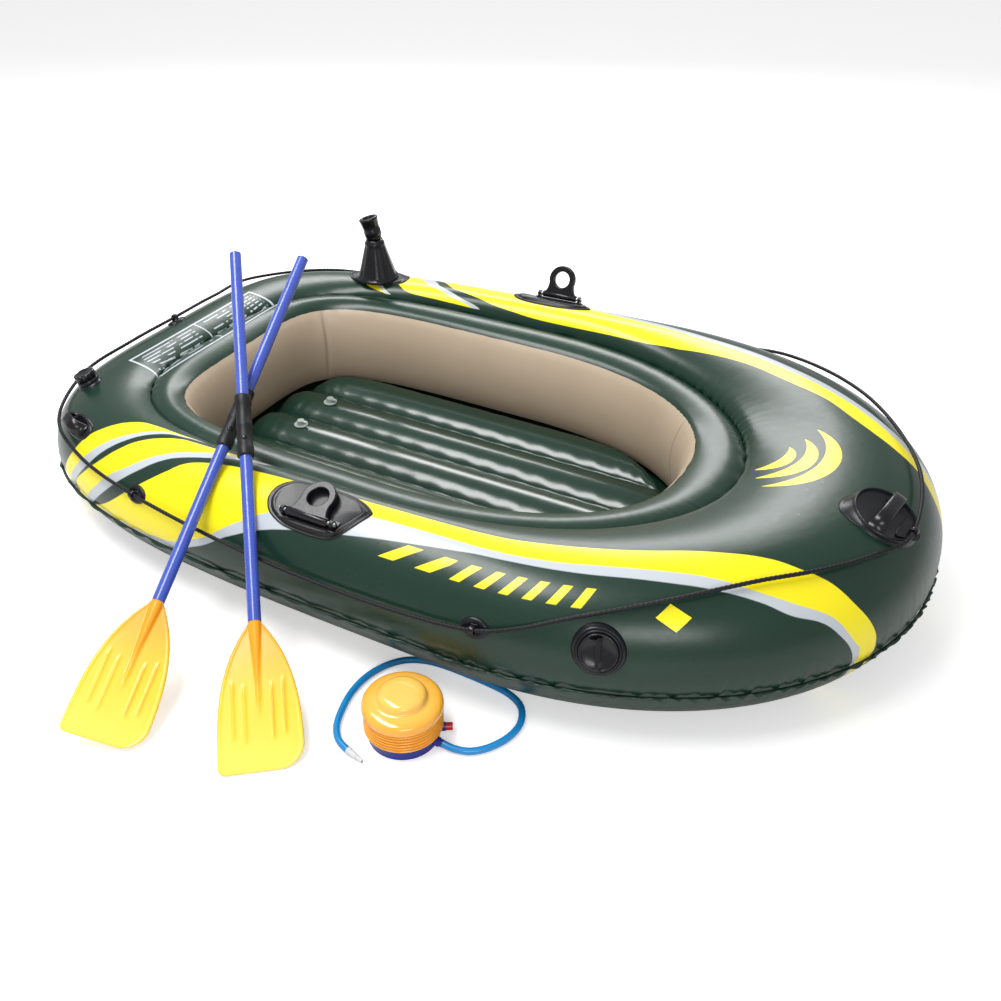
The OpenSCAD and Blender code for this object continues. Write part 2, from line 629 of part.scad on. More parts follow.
module oar_blade(upper) {
    small = 14;
    big = 44;
    arc = 6;
    edge = [for (k = [0:12]) let(u = k / 12 * 0.82) [blade_l * (1 - u), blade_half(u)]];
    function corner(r, s) = [for (k = [0:arc]) let(a = 90 * k / arc) [r - r * sin(a), s * (blade_w / 2 - r + r * cos(a))]];
    right = concat([for (p = edge) [p.x, -p.y]], corner(big, -1));
    left = concat(edge, corner(small, 1));
    color(oar_yellow) lay_oar(upper) {
        translate([0, 0, -blade_t / 2]) linear_extrude(blade_t)
            polygon(concat(right, [for (k = [len(left) - 1:-1:0]) left[k]]));
        translate([blade_l - 110, 0, 0]) rotate([0, 90, 0]) cylinder(h = 110, r1 = 4, r2 = shaft_d / 2);
        translate([blade_l - 1, 0, 0]) rotate([0, 90, 0]) cylinder(h = blade_stem_l, r = stem_fit_r);
        for (y = [-44, -24, 24, 44])
            translate([40 + abs(y) * 0.4, y - 1.5, -blade_t / 2 - 1.2]) cube([100, 3, blade_t + 2.4]);
    }
}

module oar_tube(x1, x2, r_out, r_in) {
    translate([x1, 0, 0]) rotate([0, 90, 0]) difference() {
        cylinder(h = x2 - x1, r = r_out);
        translate([0, 0, -1]) cylinder(h = x2 - x1 + 2, r = r_in);
    }
}

module oar_shaft(upper) {
    color(blue) lay_oar(upper)
        oar_tube(blade_l + seat, sleeve_at - gap_at_sleeve / 2, shaft_d / 2, shaft_d / 2 - shaft_t);
}
module oar_sleeve(upper) {
    color(black) lay_oar(upper)
        oar_tube(sleeve_at - sleeve_l / 2, sleeve_at + sleeve_l / 2, sleeve_d / 2, shaft_d / 2 + fit);
}
module oar_grip_shaft(upper) {
    color(blue) lay_oar(upper)
        oar_tube(sleeve_at + gap_at_sleeve / 2, oar_l - 3, shaft_d / 2, shaft_d / 2 - shaft_t);
}
module oar_end_cap(upper) {
    color(blue) lay_oar(upper) translate([oar_l - 3 + seat, 0, 0]) rotate([0, 90, 0]) {
        cylinder(h = 3 - seat, r = shaft_d / 2);
        translate([0, 0, -22]) cylinder(h = 22, r = stem_fit_r);
    }
}

// ---------- foot pump ----------
pump_x = 211;
pump_y = -hull_w / 2 - 90;
base_r = 63;
folds = 4;
bellows_t = 2;
plug_turn = 30;
port_h = 12;
top_z = base_h + bellows_h + seat;
dome_r = 42;

module at_pump() { translate([pump_x, pump_y, 0]) children(); }

module pump_base() {
    color(navy) at_pump() difference() {
        union() {
            cylinder(h = base_h - 4, r = base_r);
            cylinder(h = base_h, r = base_r - 3);
            rotate([0, 0, plug_turn]) translate([base_r - 4, 0, port_h]) rotate([0, 90, 0]) cylinder(h = 14, r = 8);
        }
        translate([0, 0, 3]) cylinder(h = base_h, r = base_r - 7);
        translate([base_r - 12, 0, port_h]) rotate([0, 90, 0]) cylinder(h = 20, r = 7 + fit);
        rotate([0, 0, plug_turn]) translate([base_r - 12, 0, port_h]) rotate([0, 90, 0]) cylinder(h = 30, r = 5.5);
    }
}

module pump_bellows() {
    step = bellows_h / folds;
    outer = [for (k = [0:folds - 1]) each [[pump_r - 7, k * step], [pump_r - 1, k * step + step * 0.3],
        [pump_r - 1, k * step + step * 0.7]]];
    rim_z = bellows_h - seat;
    color(amber) at_pump() translate([0, 0, base_h + seat]) rotate_extrude() polygon(concat(outer,
        [[pump_r - 7, rim_z], [pump_r - 7 - bellows_t, rim_z]],
        [for (k = [folds - 1:-1:0]) each [[pump_r - 1 - bellows_t, k * step + step * 0.7],
            [pump_r - 1 - bellows_t, k * step + step * 0.3], [pump_r - 7 - bellows_t, k * step]]]));
}

spring_r = 24;
spring_wire_r = 1.6;
spring_turns = 4;
module pump_spring() {
    z1 = 3 + spring_wire_r + seat;
    z2 = top_z + top_h - 2.5 - spring_wire_r - seat;
    steps = spring_turns * 14;
    color("silver") at_pump() loft([for (i = [0:steps]) let(
        a = i * 360 * spring_turns / steps,
        p = [spring_r * cos(a), spring_r * sin(a), z1 + (z2 - z1) * i / steps],
        d = unit([-sin(a), cos(a), (z2 - z1) / (2 * PI * spring_r * spring_turns)]))
        cord_ring(p, d, [0, 0, 1], spring_wire_r, 6)]);
}

module pump_top() {
    t = 2.5;
    h1 = top_h * 0.55;
    color(amber) at_pump() translate([0, 0, top_z]) rotate_extrude() polygon([
        [pump_r - 12, 0], [pump_r - 1, 0], [pump_r, 3], [pump_r, h1 * 0.55], [pump_r - 4, h1 * 0.85],
        [pump_r - 12, h1], [dome_r + 4, h1 + 1], [dome_r, h1 + 4], [dome_r - 2, top_h - 5], [dome_r - 8, top_h - 1],
        [dome_r - 14, top_h], [0, top_h], [0, top_h - t], [dome_r - 14, top_h - t], [dome_r - 9, top_h - t - 1.5],
        [dome_r - 5, top_h - 7], [dome_r - 3, h1 + 2], [dome_r + 1, h1 - t + 0.5], [pump_r - 14, h1 - t],
        [pump_r - 7, h1 * 0.75], [pump_r - 3, h1 * 0.5], [pump_r - 3, t + 1], [pump_r - 5, t], [pump_r - 12, t]]);
}

module pump_outlet() {
    color(navy) at_pump() translate([base_r - 7, 0, port_h]) rotate([0, 90, 0]) difference() {
        union() {
            cylinder(h = 22, r = 7);
            translate([0, 0, 7 + seat]) cylinder(h = 8, r = 8.5);
        }
        translate([0, 0, -1]) cylinder(h = 30, r = 3.5);
    }
}

module pump_plug() {
    color("red") at_pump() rotate([0, 0, plug_turn]) translate([base_r + 10 + seat, 0, port_h]) rotate([0, 90, 0]) {
        cylinder(h = 12, r = 7);
        translate([0, 0, -12]) cylinder(h = 13, r = 5.5 - fit);
    }
}

// The hose's route on the ground, from the pump's outlet round to the nozzle
hose_route = [[289, -690, 12], [312, -688, 9], [338, -678, 7], [362, -655, 7], [380, -620, 7], [384, -582, 7],
    [368, -547, 7], [336, -529, 7], [296, -523, 7], [250, -521, 7], [204, -521, 7], [160, -526, 7], [122, -544, 7],
    [96, -576, 7], [82, -616, 7], [80, -658, 7], [88, -700, 7], [102, -738, 7], [124, -764, 7], [152, -776, 7]];
nozzle_start = hose_route[len(hose_route) - 1];
nozzle_heading = -14;

module pump_hose() {
    steps = 3;
    line = concat(smooth(hose_route, steps, false), [nozzle_start]);
    n = len(line);
    color("#1e90e0") loft([for (i = [0:n - 1]) cord_ring(line[i],
        i == 0 ? [1, 0, 0] : i == n - 1 ? [cos(nozzle_heading), sin(nozzle_heading), 0] : unit(line[i + 1] - line[i - 1]),
        [0, 0, 1], hose_d / 2, 12)]);
}

module hose_nozzle() {
    color("white") translate(nozzle_start) rotate([0, 0, nozzle_heading]) rotate([0, 90, 0]) difference() {
        union() {
            cylinder(h = 6, r = 7);
            translate([0, 0, 6]) cylinder(h = 16, r1 = 6.5, r2 = 5);
            translate([0, 0, 22]) cylinder(h = 14, r1 = 4.2, r2 = 3.4);
        }
        translate([0, 0, 1]) cylinder(h = 40, r = 2);
    }
}

bottom_sheet();
outer_chamber();
inner_chamber();
cockpit_wall();
floor_mat();
seam_flange();
bow_handle_pad();
bow_handle();
stern_handle_pad();
stern_handle();
oarlock_pad(false);  // starboard_oarlock_pad
oarlock_base(false);  // starboard_oarlock_base
oarlock_pin(false);  // starboard_oarlock_pin
oarlock_ring(false);  // starboard_oarlock_ring
oarlock_pad(true);  // port_oarlock_pad
oarlock_base(true);  // port_oarlock_base
oarlock_pin(true);  // port_oarlock_pin
oarlock_ring(true);  // port_oarlock_ring
rod_holder_pad();
rod_holder_cone();
rod_holder_head();
side_valve_pad();
side_valve_body();
side_valve_flap();
side_valve_cap();
stern_valve_pad();
stern_valve_body();
stern_valve_flap();
stern_valve_cap();
floor_valves();
floor_plug(1);  // port_floor_plug
floor_plug(0);  // middle_floor_plug
rope_holder_pads();
rope_holder_eyes();
grab_line();
oar_blade(false);  // lower_oar_blade
oar_shaft(false);  // lower_oar_shaft
oar_sleeve(false);  // lower_oar_sleeve
oar_grip_shaft(false);  // lower_oar_grip_shaft
oar_end_cap(false);  // lower_oar_end_cap
oar_blade(true);  // upper_oar_blade
oar_shaft(true);  // upper_oar_shaft
oar_sleeve(true);  // upper_oar_sleeve
oar_grip_shaft(true);  // upper_oar_grip_shaft
oar_end_cap(true);  // upper_oar_end_cap
pump_base();
pump_bellows();
pump_spring();
pump_top();
pump_outlet();
pump_plug();
pump_hose();
hose_nozzle();
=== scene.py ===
# %% [markdown]
# # An inflatable rowing boat
#
# The boat is dark green film blown up into tubes, with yellow and white bands printed on it, and
# a beige wall round the cockpit. Hard black fittings are welded on. A pair of oars leans on the
# side, and a foot pump stands beside it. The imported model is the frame: every piece made here
# lies where the frame says, and rides on one of its bodies.

# %% The frame
import math

import bpy
import numpy as np
from mathutils import Matrix, Vector


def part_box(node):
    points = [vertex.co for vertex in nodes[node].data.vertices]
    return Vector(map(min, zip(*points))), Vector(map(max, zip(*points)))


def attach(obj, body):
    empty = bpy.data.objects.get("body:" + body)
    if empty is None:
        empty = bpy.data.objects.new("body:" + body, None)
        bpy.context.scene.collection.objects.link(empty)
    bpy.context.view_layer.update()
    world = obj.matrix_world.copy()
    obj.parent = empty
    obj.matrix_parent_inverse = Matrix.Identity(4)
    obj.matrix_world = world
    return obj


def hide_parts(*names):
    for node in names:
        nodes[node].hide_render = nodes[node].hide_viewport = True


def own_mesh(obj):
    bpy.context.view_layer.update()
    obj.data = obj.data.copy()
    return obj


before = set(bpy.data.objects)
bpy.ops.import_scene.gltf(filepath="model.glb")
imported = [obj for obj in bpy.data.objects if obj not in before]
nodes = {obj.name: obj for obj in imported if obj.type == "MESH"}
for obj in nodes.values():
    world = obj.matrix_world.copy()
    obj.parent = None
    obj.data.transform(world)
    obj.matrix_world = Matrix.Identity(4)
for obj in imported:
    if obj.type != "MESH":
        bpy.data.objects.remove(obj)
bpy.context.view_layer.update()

# %% [markdown]
# ## The camera
#
# The camera comes before the pieces, because the cords are measured against what it sees. It
# looks down on the starboard side from a little over thirty degrees. A small shift of the lens
# frames the boat without turning the camera.

# %% Camera
camera = bpy.data.objects.new("camera", bpy.data.cameras.new("camera"))
bpy.context.scene.collection.objects.link(camera)
bpy.context.scene.camera = camera
camera.location = (0.9537, -1.7682, 1.4222)
look_at = Vector((0, 0, 0.122))
camera.rotation_euler = (look_at - camera.location).to_track_quat("-Z", "Y").to_euler()
camera.data.sensor_width = 36
camera.data.lens = 38.31
camera.data.shift_x = 0.0153
camera.data.shift_y = -0.0465
camera.data.clip_end = 30
print("camera at", tuple(round(v, 2) for v in camera.location))

# %% [markdown]
# ## Shader maths as plain expressions
#
# A printed band or a wrinkle is a formula over the surface. Written with nodes by hand it is a
# tangle, so one small class wraps a socket: adding or multiplying two of them adds a Math node.
# Colours go through Mix, because a Math node would turn them grey.

# %% Sockets with operators
def math_operator(operation, reflected=False):
    def apply(self, other=0.0):
        return self.finish.math(operation, *((other, self) if reflected else (self, other)))
    return apply


class Term:
    """A socket that can stand in an expression."""

    def __init__(self, finish, socket):
        self.finish = finish
        self.socket = socket

    __add__ = math_operator("ADD")
    __radd__ = math_operator("ADD", True)
    __sub__ = math_operator("SUBTRACT")
    __rsub__ = math_operator("SUBTRACT", True)
    __mul__ = math_operator("MULTIPLY")
    __rmul__ = math_operator("MULTIPLY", True)
    __truediv__ = math_operator("DIVIDE")
    __pow__ = math_operator("POWER")
    __gt__ = math_operator("GREATER_THAN")
    __lt__ = math_operator("LESS_THAN")
    __mod__ = math_operator("FLOORED_MODULO")
    __abs__ = math_operator("ABSOLUTE")

    def least(self, other):
        return self.finish.math("MINIMUM", self, other)

    def most(self, other):
        return self.finish.math("MAXIMUM", self, other)

    def step(self, low, high):
        """0 below low, 1 above high, and smooth between."""
        return self.finish.node("ShaderNodeMapRange", {"interpolation_type": "SMOOTHSTEP"},
                                {"Value": self, "From Min": low, "From Max": high})


print("operators ready")

# %% [markdown]
# ## Finishes
#
# Every finish is one Principled shader, so that it reads the same in any viewer. A finish could
# be built by hand in the shader editor, but as a small class it is built again at every run. Its
# values come from what the real material does: colour, gloss and a fine bump.

# %% Finishes
class Finish:
    """A material: one Principled shader and the nodes that feed it."""

    def __init__(self, name, **uniform):
        self.material = bpy.data.materials.new(name)
        self.material.use_nodes = True
        self.tree = self.material.node_tree
        self.shader = self.tree.nodes["Principled BSDF"]
        self.set(**uniform)

    def plug(self, socket, value):
        if isinstance(value, Term):
            self.tree.links.new(value.socket, socket)
        elif hasattr(value, "__len__") and len(value) == 3 and socket.type == "RGBA":
            socket.default_value = (*value, 1)
        else:
            socket.default_value = value

    def set(self, **values):
        for name, value in values.items():
            self.plug(self.shader.inputs[name.replace("_", " ")], value)
        return self

    def node(self, kind, settings=None, sockets=None, out=0):
        made = self.tree.nodes.new(kind)
        for name, value in (settings or {}).items():
            setattr(made, name, value)
        for name, value in (sockets or {}).items():
            self.plug(made.inputs[name], value)
        return Term(self, made.outputs[out])

    def math(self, operation, *values):
        return self.node("ShaderNodeMath", {"operation": operation}, dict(enumerate(values)))

    def mix(self, share, a, b):
        return self.node("ShaderNodeMix", {"data_type": "RGBA"}, {0: share, 6: a, 7: b}, out=2)

    def place(self, out="Object"):
        return self.node("ShaderNodeTexCoord", out=out)

    def parts(self, vector):
        split = self.node("ShaderNodeSeparateXYZ", sockets={0: vector})
        return [Term(self, s) for s in split.socket.node.outputs]

    def noise(self, scale, detail=2.0):
        return self.node("ShaderNodeTexNoise", sockets={
            "Vector": self.place(), "Scale": scale, "Detail": detail})

    def curve(self, x, points, low, high):
        """A smooth line through points, where x runs from 0 to 1 and its value from low to high."""
        line = self.node("ShaderNodeFloatCurve", sockets={"Value": x})
        mapping = line.socket.node.mapping
        dots = mapping.curves[0].points
        for px, py in points[2:]:
            dots.new(px, (py - low) / (high - low))
        for dot, (px, py) in zip(dots, sorted(points)):
            dot.location = (px, (py - low) / (high - low))
            dot.handle_type = "AUTO_CLAMPED"
        mapping.update()
        return line * (high - low) + low

    def bump(self, height, distance, strength=1.0):
        normal = self.node("ShaderNodeBump", sockets={
            "Strength": strength, "Distance": distance, "Height": height})
        return self.set(Normal=normal)


print("finishes ready")

# %% [markdown]
# ## Meshes as grids
#
# Nearly every piece of the boat is a row of outlines: round a tube, along a cord, about a lathe's
# axis. So one helper turns a grid of points into a mesh of quads. Where the grid is a surface
# with a printed pattern it also carries two coordinates for the shader.

# %% Grid meshes
def new_piece(name, vertices, faces, finish, body, uv):
    mesh = bpy.data.meshes.new(name)
    mesh.from_pydata([tuple(v) for v in vertices], [], [tuple(f) for f in faces])
    mesh.update()
    mesh.polygons.foreach_set("use_smooth", [True] * len(mesh.polygons))
    if uv is not None:
        layer = mesh.uv_layers.new(name="skin")
        layer.data.foreach_set("uv", np.asarray(uv, np.float32).ravel())
    mesh.materials.append(finish.material)
    piece = bpy.data.objects.new(name, mesh)
    bpy.context.scene.collection.objects.link(piece)
    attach(piece, body)
    return piece


def grid_faces(rows, columns, wrap_rows, wrap_columns, flip=False):
    """Quads of a grid, and for each corner its row and column before wrapping round."""
    r = np.arange(rows if wrap_rows else rows - 1)
    c = np.arange(columns if wrap_columns else columns - 1)
    r, c = [g.ravel() for g in np.meshgrid(r, c, indexing="ij")]
    corners = [(r, c), (r + 1, c), (r + 1, c + 1), (r, c + 1)]
    if flip:
        corners = corners[::-1]
    raw = np.stack([np.stack(pair, -1) for pair in corners], 1)
    return (raw[..., 0] % rows) * columns + raw[..., 1] % columns, raw


def grid_piece(name, points, finish, body, wrap_rows=False, wrap_columns=False, flip=False,
               caps=False, uv_of=None):
    """A piece from a grid of points; uv_of turns a corner's row and column into its coordinates."""
    points = np.asarray(points, float)
    rows, columns = points.shape[:2]
    faces, raw = grid_faces(rows, columns, wrap_rows, wrap_columns, flip)
    uv = None if uv_of is None else uv_of(raw[..., 0], raw[..., 1])
    faces = [list(f) for f in faces]
    if caps and uv is not None:
        uv = np.concatenate([uv.reshape(-1, 2), np.zeros((2 * columns, 2))])
    if caps:
        first = list(range(columns))
        last = [(rows - 1) * columns + c for c in range(columns)]
        faces += [first, last[::-1]] if flip else [first[::-1], last]
    return new_piece(name, points.reshape(-1, 3), faces, finish, body, uv)


print("grid pieces ready")

# %% [markdown]
# ## Smooth lines and sweeps
#
# Ropes, handles and rims are one section carried along a line. A line through a few chosen places
# is made smooth with a spline that passes through each of them. The section then stands square
# to the line and keeps one side up, so that flat straps don't twist.

# %% Lines and sweeps
def unit(v):
    return v / np.linalg.norm(v, axis=-1, keepdims=True)


def bend(p, q, r, s, u):
    """A cubic from q to r that leaves and arrives in line with the places before and after."""
    return 0.5 * (2 * q + (r - p) * u + (2 * p - 5 * q + 4 * r - s) * u**2 + (3 * q - p - 3 * r + s) * u**3)


def smooth_line(points, steps, loop=False):
    """A smooth line through points, with a number of steps between each two."""
    p = np.asarray(points, float)
    n = len(p)
    at = (lambda i: i % n) if loop else (lambda i: min(max(i, 0), n - 1))
    line = [bend(p[at(i - 1)], p[at(i)], p[at(i + 1)], p[at(i + 2)], k / steps)
            for i in range(n if loop else n - 1) for k in range(steps)]
    return np.array(line if loop else line + [p[-1]])


def sweep(line, ups, section_of, loop=False):
    """Outlines along a line: section_of gives each outline's points as (sideways, up)."""
    n = len(line)
    ahead = unit(np.roll(line, -1, 0) - np.roll(line, 1, 0)) if loop else unit(np.gradient(line, axis=0))
    side = unit(np.cross(ahead, ups))
    up = np.cross(side, ahead)
    return np.array([line[i] + np.array(section_of(i)) @ np.array([side[i], up[i]]) for i in range(n)])


print("lines and sweeps ready")

# %% [markdown]
# ## The pump's hose
#
# A soft vinyl hose leaves the pump's outlet, runs round on the ground in one wide loop and ends
# in its nozzle beside the pump. All of it shows, so its length is what the loop measures. It is
# a curve with a round bevel: a hose keeps its diameter, and a curve keeps it for us.

# %% Hose
hose_d = 0.013
hose_route = [(0.289, -0.690, 0.012), (0.312, -0.688, 0.009), (0.338, -0.678, 0.007), (0.362, -0.655, 0.007),
              (0.380, -0.620, 0.007), (0.384, -0.582, 0.007), (0.368, -0.547, 0.007), (0.336, -0.529, 0.007),
              (0.296, -0.523, 0.007), (0.250, -0.521, 0.007), (0.204, -0.521, 0.007), (0.160, -0.526, 0.007),
              (0.122, -0.544, 0.007), (0.096, -0.576, 0.007), (0.082, -0.616, 0.007), (0.080, -0.658, 0.007),
              (0.088, -0.700, 0.007), (0.102, -0.738, 0.007), (0.124, -0.764, 0.007), (0.152, -0.776, 0.007)]
hose_line = smooth_line(hose_route, 4)

hose_blue = Finish("hose blue vinyl", Roughness=0.28, Coat_Weight=0.3)
cloud = hose_blue.noise(30)
hose_blue.set(Base_Color=hose_blue.mix(cloud, (0.004, 0.185, 0.50), (0.008, 0.27, 0.62)))
hose_blue.bump(hose_blue.noise(400), 0.0002, 0.4)

hose_curve = bpy.data.curves.new("pump_hose_run", "CURVE")
hose_curve.dimensions = "3D"
hose_curve.bevel_depth = hose_d / 2
hose_curve.bevel_resolution = 4
hose_curve.use_fill_caps = True
spline = hose_curve.splines.new("POLY")
spline.points.add(len(hose_line) - 1)
for dot, p in zip(spline.points, hose_line):
    dot.co = (*p, 1)
hose_curve.materials.append(hose_blue.material)
hose = bpy.data.objects.new("pump_hose_run", hose_curve)
bpy.context.scene.collection.objects.link(hose)
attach(hose, "pump")
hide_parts("pump_hose")

# %% [markdown]
# ## The hull's shape
#
# The hull is three rounded plan curves, one inside the other: the outline, the weld on deck
# between the two air chambers, and the cockpit's rim. Between outline and weld the film stands up
# as a round tube. A place on the tube is two angles: t goes round the hull from the bow, and a
# goes over the section, from -90 underneath to 0 outside, 90 on top and 180 at the deck weld.
# The same two angles place every fitting and draw every printed band.

# %% Plan curves and sections
low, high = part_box("outer_chamber")
hull_l, hull_w = high.x - low.x, high.y - low.y
sheet_t = low.z
bow_h, stern_h = 0.308, 0.257
# A plan curve's shape: ends, half width, powers ahead and astern, and the place of its widest part
weld_x = (-hull_l / 2 + 0.197, hull_l / 2 - 0.391)
deck_w, lobe_w = 0.184, 0.082
weld_b = hull_w / 2 - deck_w
rim_x = (weld_x[0] + 0.089, weld_x[1] - 0.108)
rim_b = weld_b - lobe_w
weld_h, rim_h = 0.233, 0.227
outline_shape = (-hull_l / 2, hull_l / 2, hull_w / 2, (2.08, 3.88), 0.614)
weld_shape = (*weld_x, weld_b, (2.04, 3.54), 0.557)
rim_shape = (*rim_x, rim_b, (2.31, 4.66), 0.539)
core_x = (rim_x[0] + 0.230, rim_x[1] - 0.161)
core_y = 0.36 * rim_b


def plan(t, x1, x2, b, n, wide):
    """A place on a plan curve, at an angle t from the bow."""
    c, s = np.cos(np.radians(t)), np.sin(np.radians(t))
    xm = x1 + (x2 - x1) * wide
    e = np.where(c > 0, *n)
    r = (np.abs(c) ** e + np.abs(s) ** e) ** (-1 / e)
    return np.stack([xm + np.where(c > 0, x2 - xm, xm - x1) * c * r, b * s * r], -1)


print(f"hull {hull_l:.2f} x {hull_w:.2f} m, cockpit {rim_x[1] - rim_x[0]:.2f} x {2 * rim_b:.2f} m")

# %% [markdown]
# ## Sections through the hull
#
# At each angle round the hull a section is cut square to the tube, from the outline inwards. Its
# line meets the deck weld and the cockpit's rim at distances that have no plain formula, so they
# are found by the secant method. Outside its widest place the tube is round, and inside it the
# film runs down to the weld in a quarter of an oval.

# %% Sections
def share(q, x1, x2, b, n, wide):
    """How far out a point is: 1 on the plan curve itself."""
    xm = x1 + (x2 - x1) * wide
    fore = q[..., 0] > xm
    u = np.where(fore, (q[..., 0] - xm) / (x2 - xm), (xm - q[..., 0]) / (xm - x1))
    e = np.where(fore, *n)
    return (np.abs(u) ** e + (np.abs(q[..., 1]) / b) ** e) ** (1 / e)


def reach(o, d, shape, guess):
    """How far along each section it is to a plan curve, by the secant method."""
    s0, g0 = np.zeros(len(o)), share(o, *shape) - 1
    s1 = np.full(len(o), guess)
    for _ in range(8):
        g1 = share(o + d * s1[:, None], *shape) - 1
        slope = np.where(np.abs(g1 - g0) < 1e-12, 1, (g1 - g0) / np.where(s1 == s0, 1, s1 - s0))
        s0, g0, s1 = s1, g1, np.where(np.abs(g1) < 1e-7, s1, s1 - g1 / slope)
    return s1


class Stations:
    """The sections through the hull at some angles t."""

    def __init__(self, t):
        t = np.atleast_1d(np.asarray(t, float))
        self.t = t
        self.o = plan(t, *outline_shape)
        core = np.clip(self.o, (core_x[0], -core_y), (core_x[1], core_y))
        self.d = unit(core - self.o)
        self.r = (stern_h + (bow_h - stern_h) * (self.o[:, 0] / hull_l + 0.5) - sheet_t) / 2
        v = plan(t + 0.5, *outline_shape) - plan(t - 0.5, *outline_shape)
        turn = self.d[:, 1] * v[:, 0] - self.d[:, 0] * v[:, 1]
        self.c = self.r * np.linalg.norm(v, axis=1) / turn
        self.weld = reach(self.o, self.d, weld_shape, deck_w)
        self.rim = reach(self.o, self.d, rim_shape, deck_w + lobe_w)

    def at(self, x, z):
        """Points x in from the outline and z up; x and z are columns of (station, point)."""
        xy = self.o[:, None] + self.d[:, None] * x[..., None]
        return np.concatenate([xy, np.broadcast_to(z, x.shape)[..., None]], -1)

    def skin(self, a):
        a = np.radians(np.atleast_2d(a))
        r, c = self.r[:, None], self.c[:, None]
        inner = self.weld[:, None] - c
        outside = a <= np.pi / 2
        x = np.where(outside, c - c * np.cos(a), c - inner * np.cos(a))
        z = np.where(outside, sheet_t + r + r * np.sin(a), weld_h + (sheet_t + 2 * r - weld_h) * np.sin(a))
        return self.at(x, z)


bow_station = Stations(0)
print(f"tube {2 * bow_station.r[0]:.3f} m high at the bow")

# %% [markdown]
# ## Places on the skin
#
# Every fitting is set by two angles and turned with the skin there. The directions along, up and
# out are measured from the skin itself, a small step to either side, so they stay right if the
# hull's shape is changed.

# %% Places on the skin
def skin(t, a):
    return Stations(t).skin(a)[0, 0]


def frame_at(t, a):
    """Along the tube, up its section and out of it, at one place."""
    along = unit(skin(t + 0.5, a) - skin(t - 0.5, a))
    slope = unit(skin(t, a + 0.5) - skin(t, a - 0.5))
    out = unit(np.cross(along, slope))
    return along, np.cross(out, along), out


def off_skin(t, a, h):
    """Places h off the skin; t, a and h may be arrays of one length."""
    t, a, h = (np.atleast_1d(np.asarray(k, float)) for k in np.broadcast_arrays(t, a, h))
    here, ahead, behind = [Stations(t + k).skin(a[:, None])[:, 0] for k in (0, 0.4, -0.4)]
    above, below = [Stations(t).skin((a + k)[:, None])[:, 0] for k in (0.4, -0.4)]
    return here + unit(np.cross(ahead - behind, above - below)) * h[:, None]


def placed(t, a, h=0.0):
    """A matrix that puts X along the tube, Y up it and Z out of it."""
    along, up, out = frame_at(t, a)
    m = Matrix.Identity(4)
    for k in range(3):
        m[k][0], m[k][1], m[k][2] = along[k], up[k], out[k]
        m[k][3] = (skin(t, a) + out * h)[k]
    return m


print("deck at the bow", [round(float(k), 3) for k in skin(0, 90)])

# %% [markdown]
# ## Green film with its printed bands
#
# The film is dark green and satin, with a soft sheen along the tube. On it are printed a yellow
# band with a white lower edge that sweeps from the stern quarter to the bow, and two more
# crescents over the stern quarter. A band's edges are smooth curves through a few places on the
# tube, given in the two angles, so the print follows the inflated shape. The two sides differ a
# little, as such prints do, so each side has its own curves.

# %% Edges of the bands
green = (0.0065, 0.029, 0.0175)
yellow = (0.93, 0.79, 0.008)
white = (0.50, 0.54, 0.58)

# Each edge of the long band: (t, a) with t counted from the bow
starboard_band = {
    "top": [(24, -30), (24.6, 4), (26, 20), (28, 36), (30, 54), (33, 68), (36, 80), (41, 90), (50, 97),
            (64, 98), (77, 96), (90, 91), (104, 88), (112, 84), (117, 74), (120, 52), (123, 28), (126, 4),
            (129, -14)],
    "low": [(27.5, -20), (28, 2), (29.3, 9), (31, 22), (33, 34), (37, 45), (43, 60), (48, 71), (54, 77),
            (65, 80), (76, 78), (87, 77), (97, 76), (102, 72), (107, 58), (111, 36), (115, 10), (120, -7),
            (129, -14)],
    "white": [(28.5, -20), (30, 4), (32, 18), (35, 32), (39, 40), (43, 52), (49, 63), (54, 68), (65, 72),
              (76, 72), (87, 71), (94, 64), (102, 52), (107, 42), (111, 26), (115, 3), (120, -15),
              (129, -22)]}
port_band = {
    "top": [(5, -30), (7, 10), (9, 40), (12, 56), (16, 76), (23, 90), (36, 97), (47, 104), (62, 108),
            (72, 114), (84, 126), (94, 143), (102, 150), (108, 140), (112, 118), (117, 80), (120, 50),
            (124, 20), (129, -14)],
    "low": [(9, -30), (11, 0), (13, 28), (16, 52), (20, 66), (26, 76), (34, 84), (44, 89), (57, 92), (71, 92),
            (85, 88), (98, 76), (104, 62), (109, 44), (115, 10), (120, -7), (129, -14)],
    "white": [(10, -30), (12, -5), (14, 20), (18, 45), (24, 64), (32, 75), (44, 82), (57, 85), (71, 85),
              (85, 81), (97, 68), (104, 52), (109, 34), (115, 3), (120, -15), (129, -22)]}
# Each edge of the two crescents: (a, t)
starboard_crescents = [
    {"aft": [(-20, 137), (22, 133.6), (60, 131.6), (88, 128.8), (100, 125.6), (106, 122), (112, 119)],
     "fore": [(-20, 134.4), (4, 133), (26, 131.2), (48, 129.6), (64, 128.2), (78, 126.6), (92, 124.4),
              (112, 119)],
     "white": [(-20, 133.8), (4, 131.8), (26, 129.9), (48, 128.4), (64, 127.1), (78, 125.6), (92, 123),
               (115, 117.8)]},
    {"aft": [(-20, 132.8), (0, 132), (20, 130), (38, 128.2), (54, 126.9), (70, 125.4), (82, 123.4),
             (100, 118), (116, 112.5)],
     "fore": [(-20, 131.4), (12, 128), (32, 126), (46, 124.2), (62, 122.2), (74, 120), (84, 117.8),
              (98, 114.8), (116, 112.5)],
     "white": [(-20, 130.2), (12, 126.6), (32, 124.5), (46, 122.9), (62, 120.9), (74, 118.6), (84, 116),
               (98, 113), (118, 111)]}]
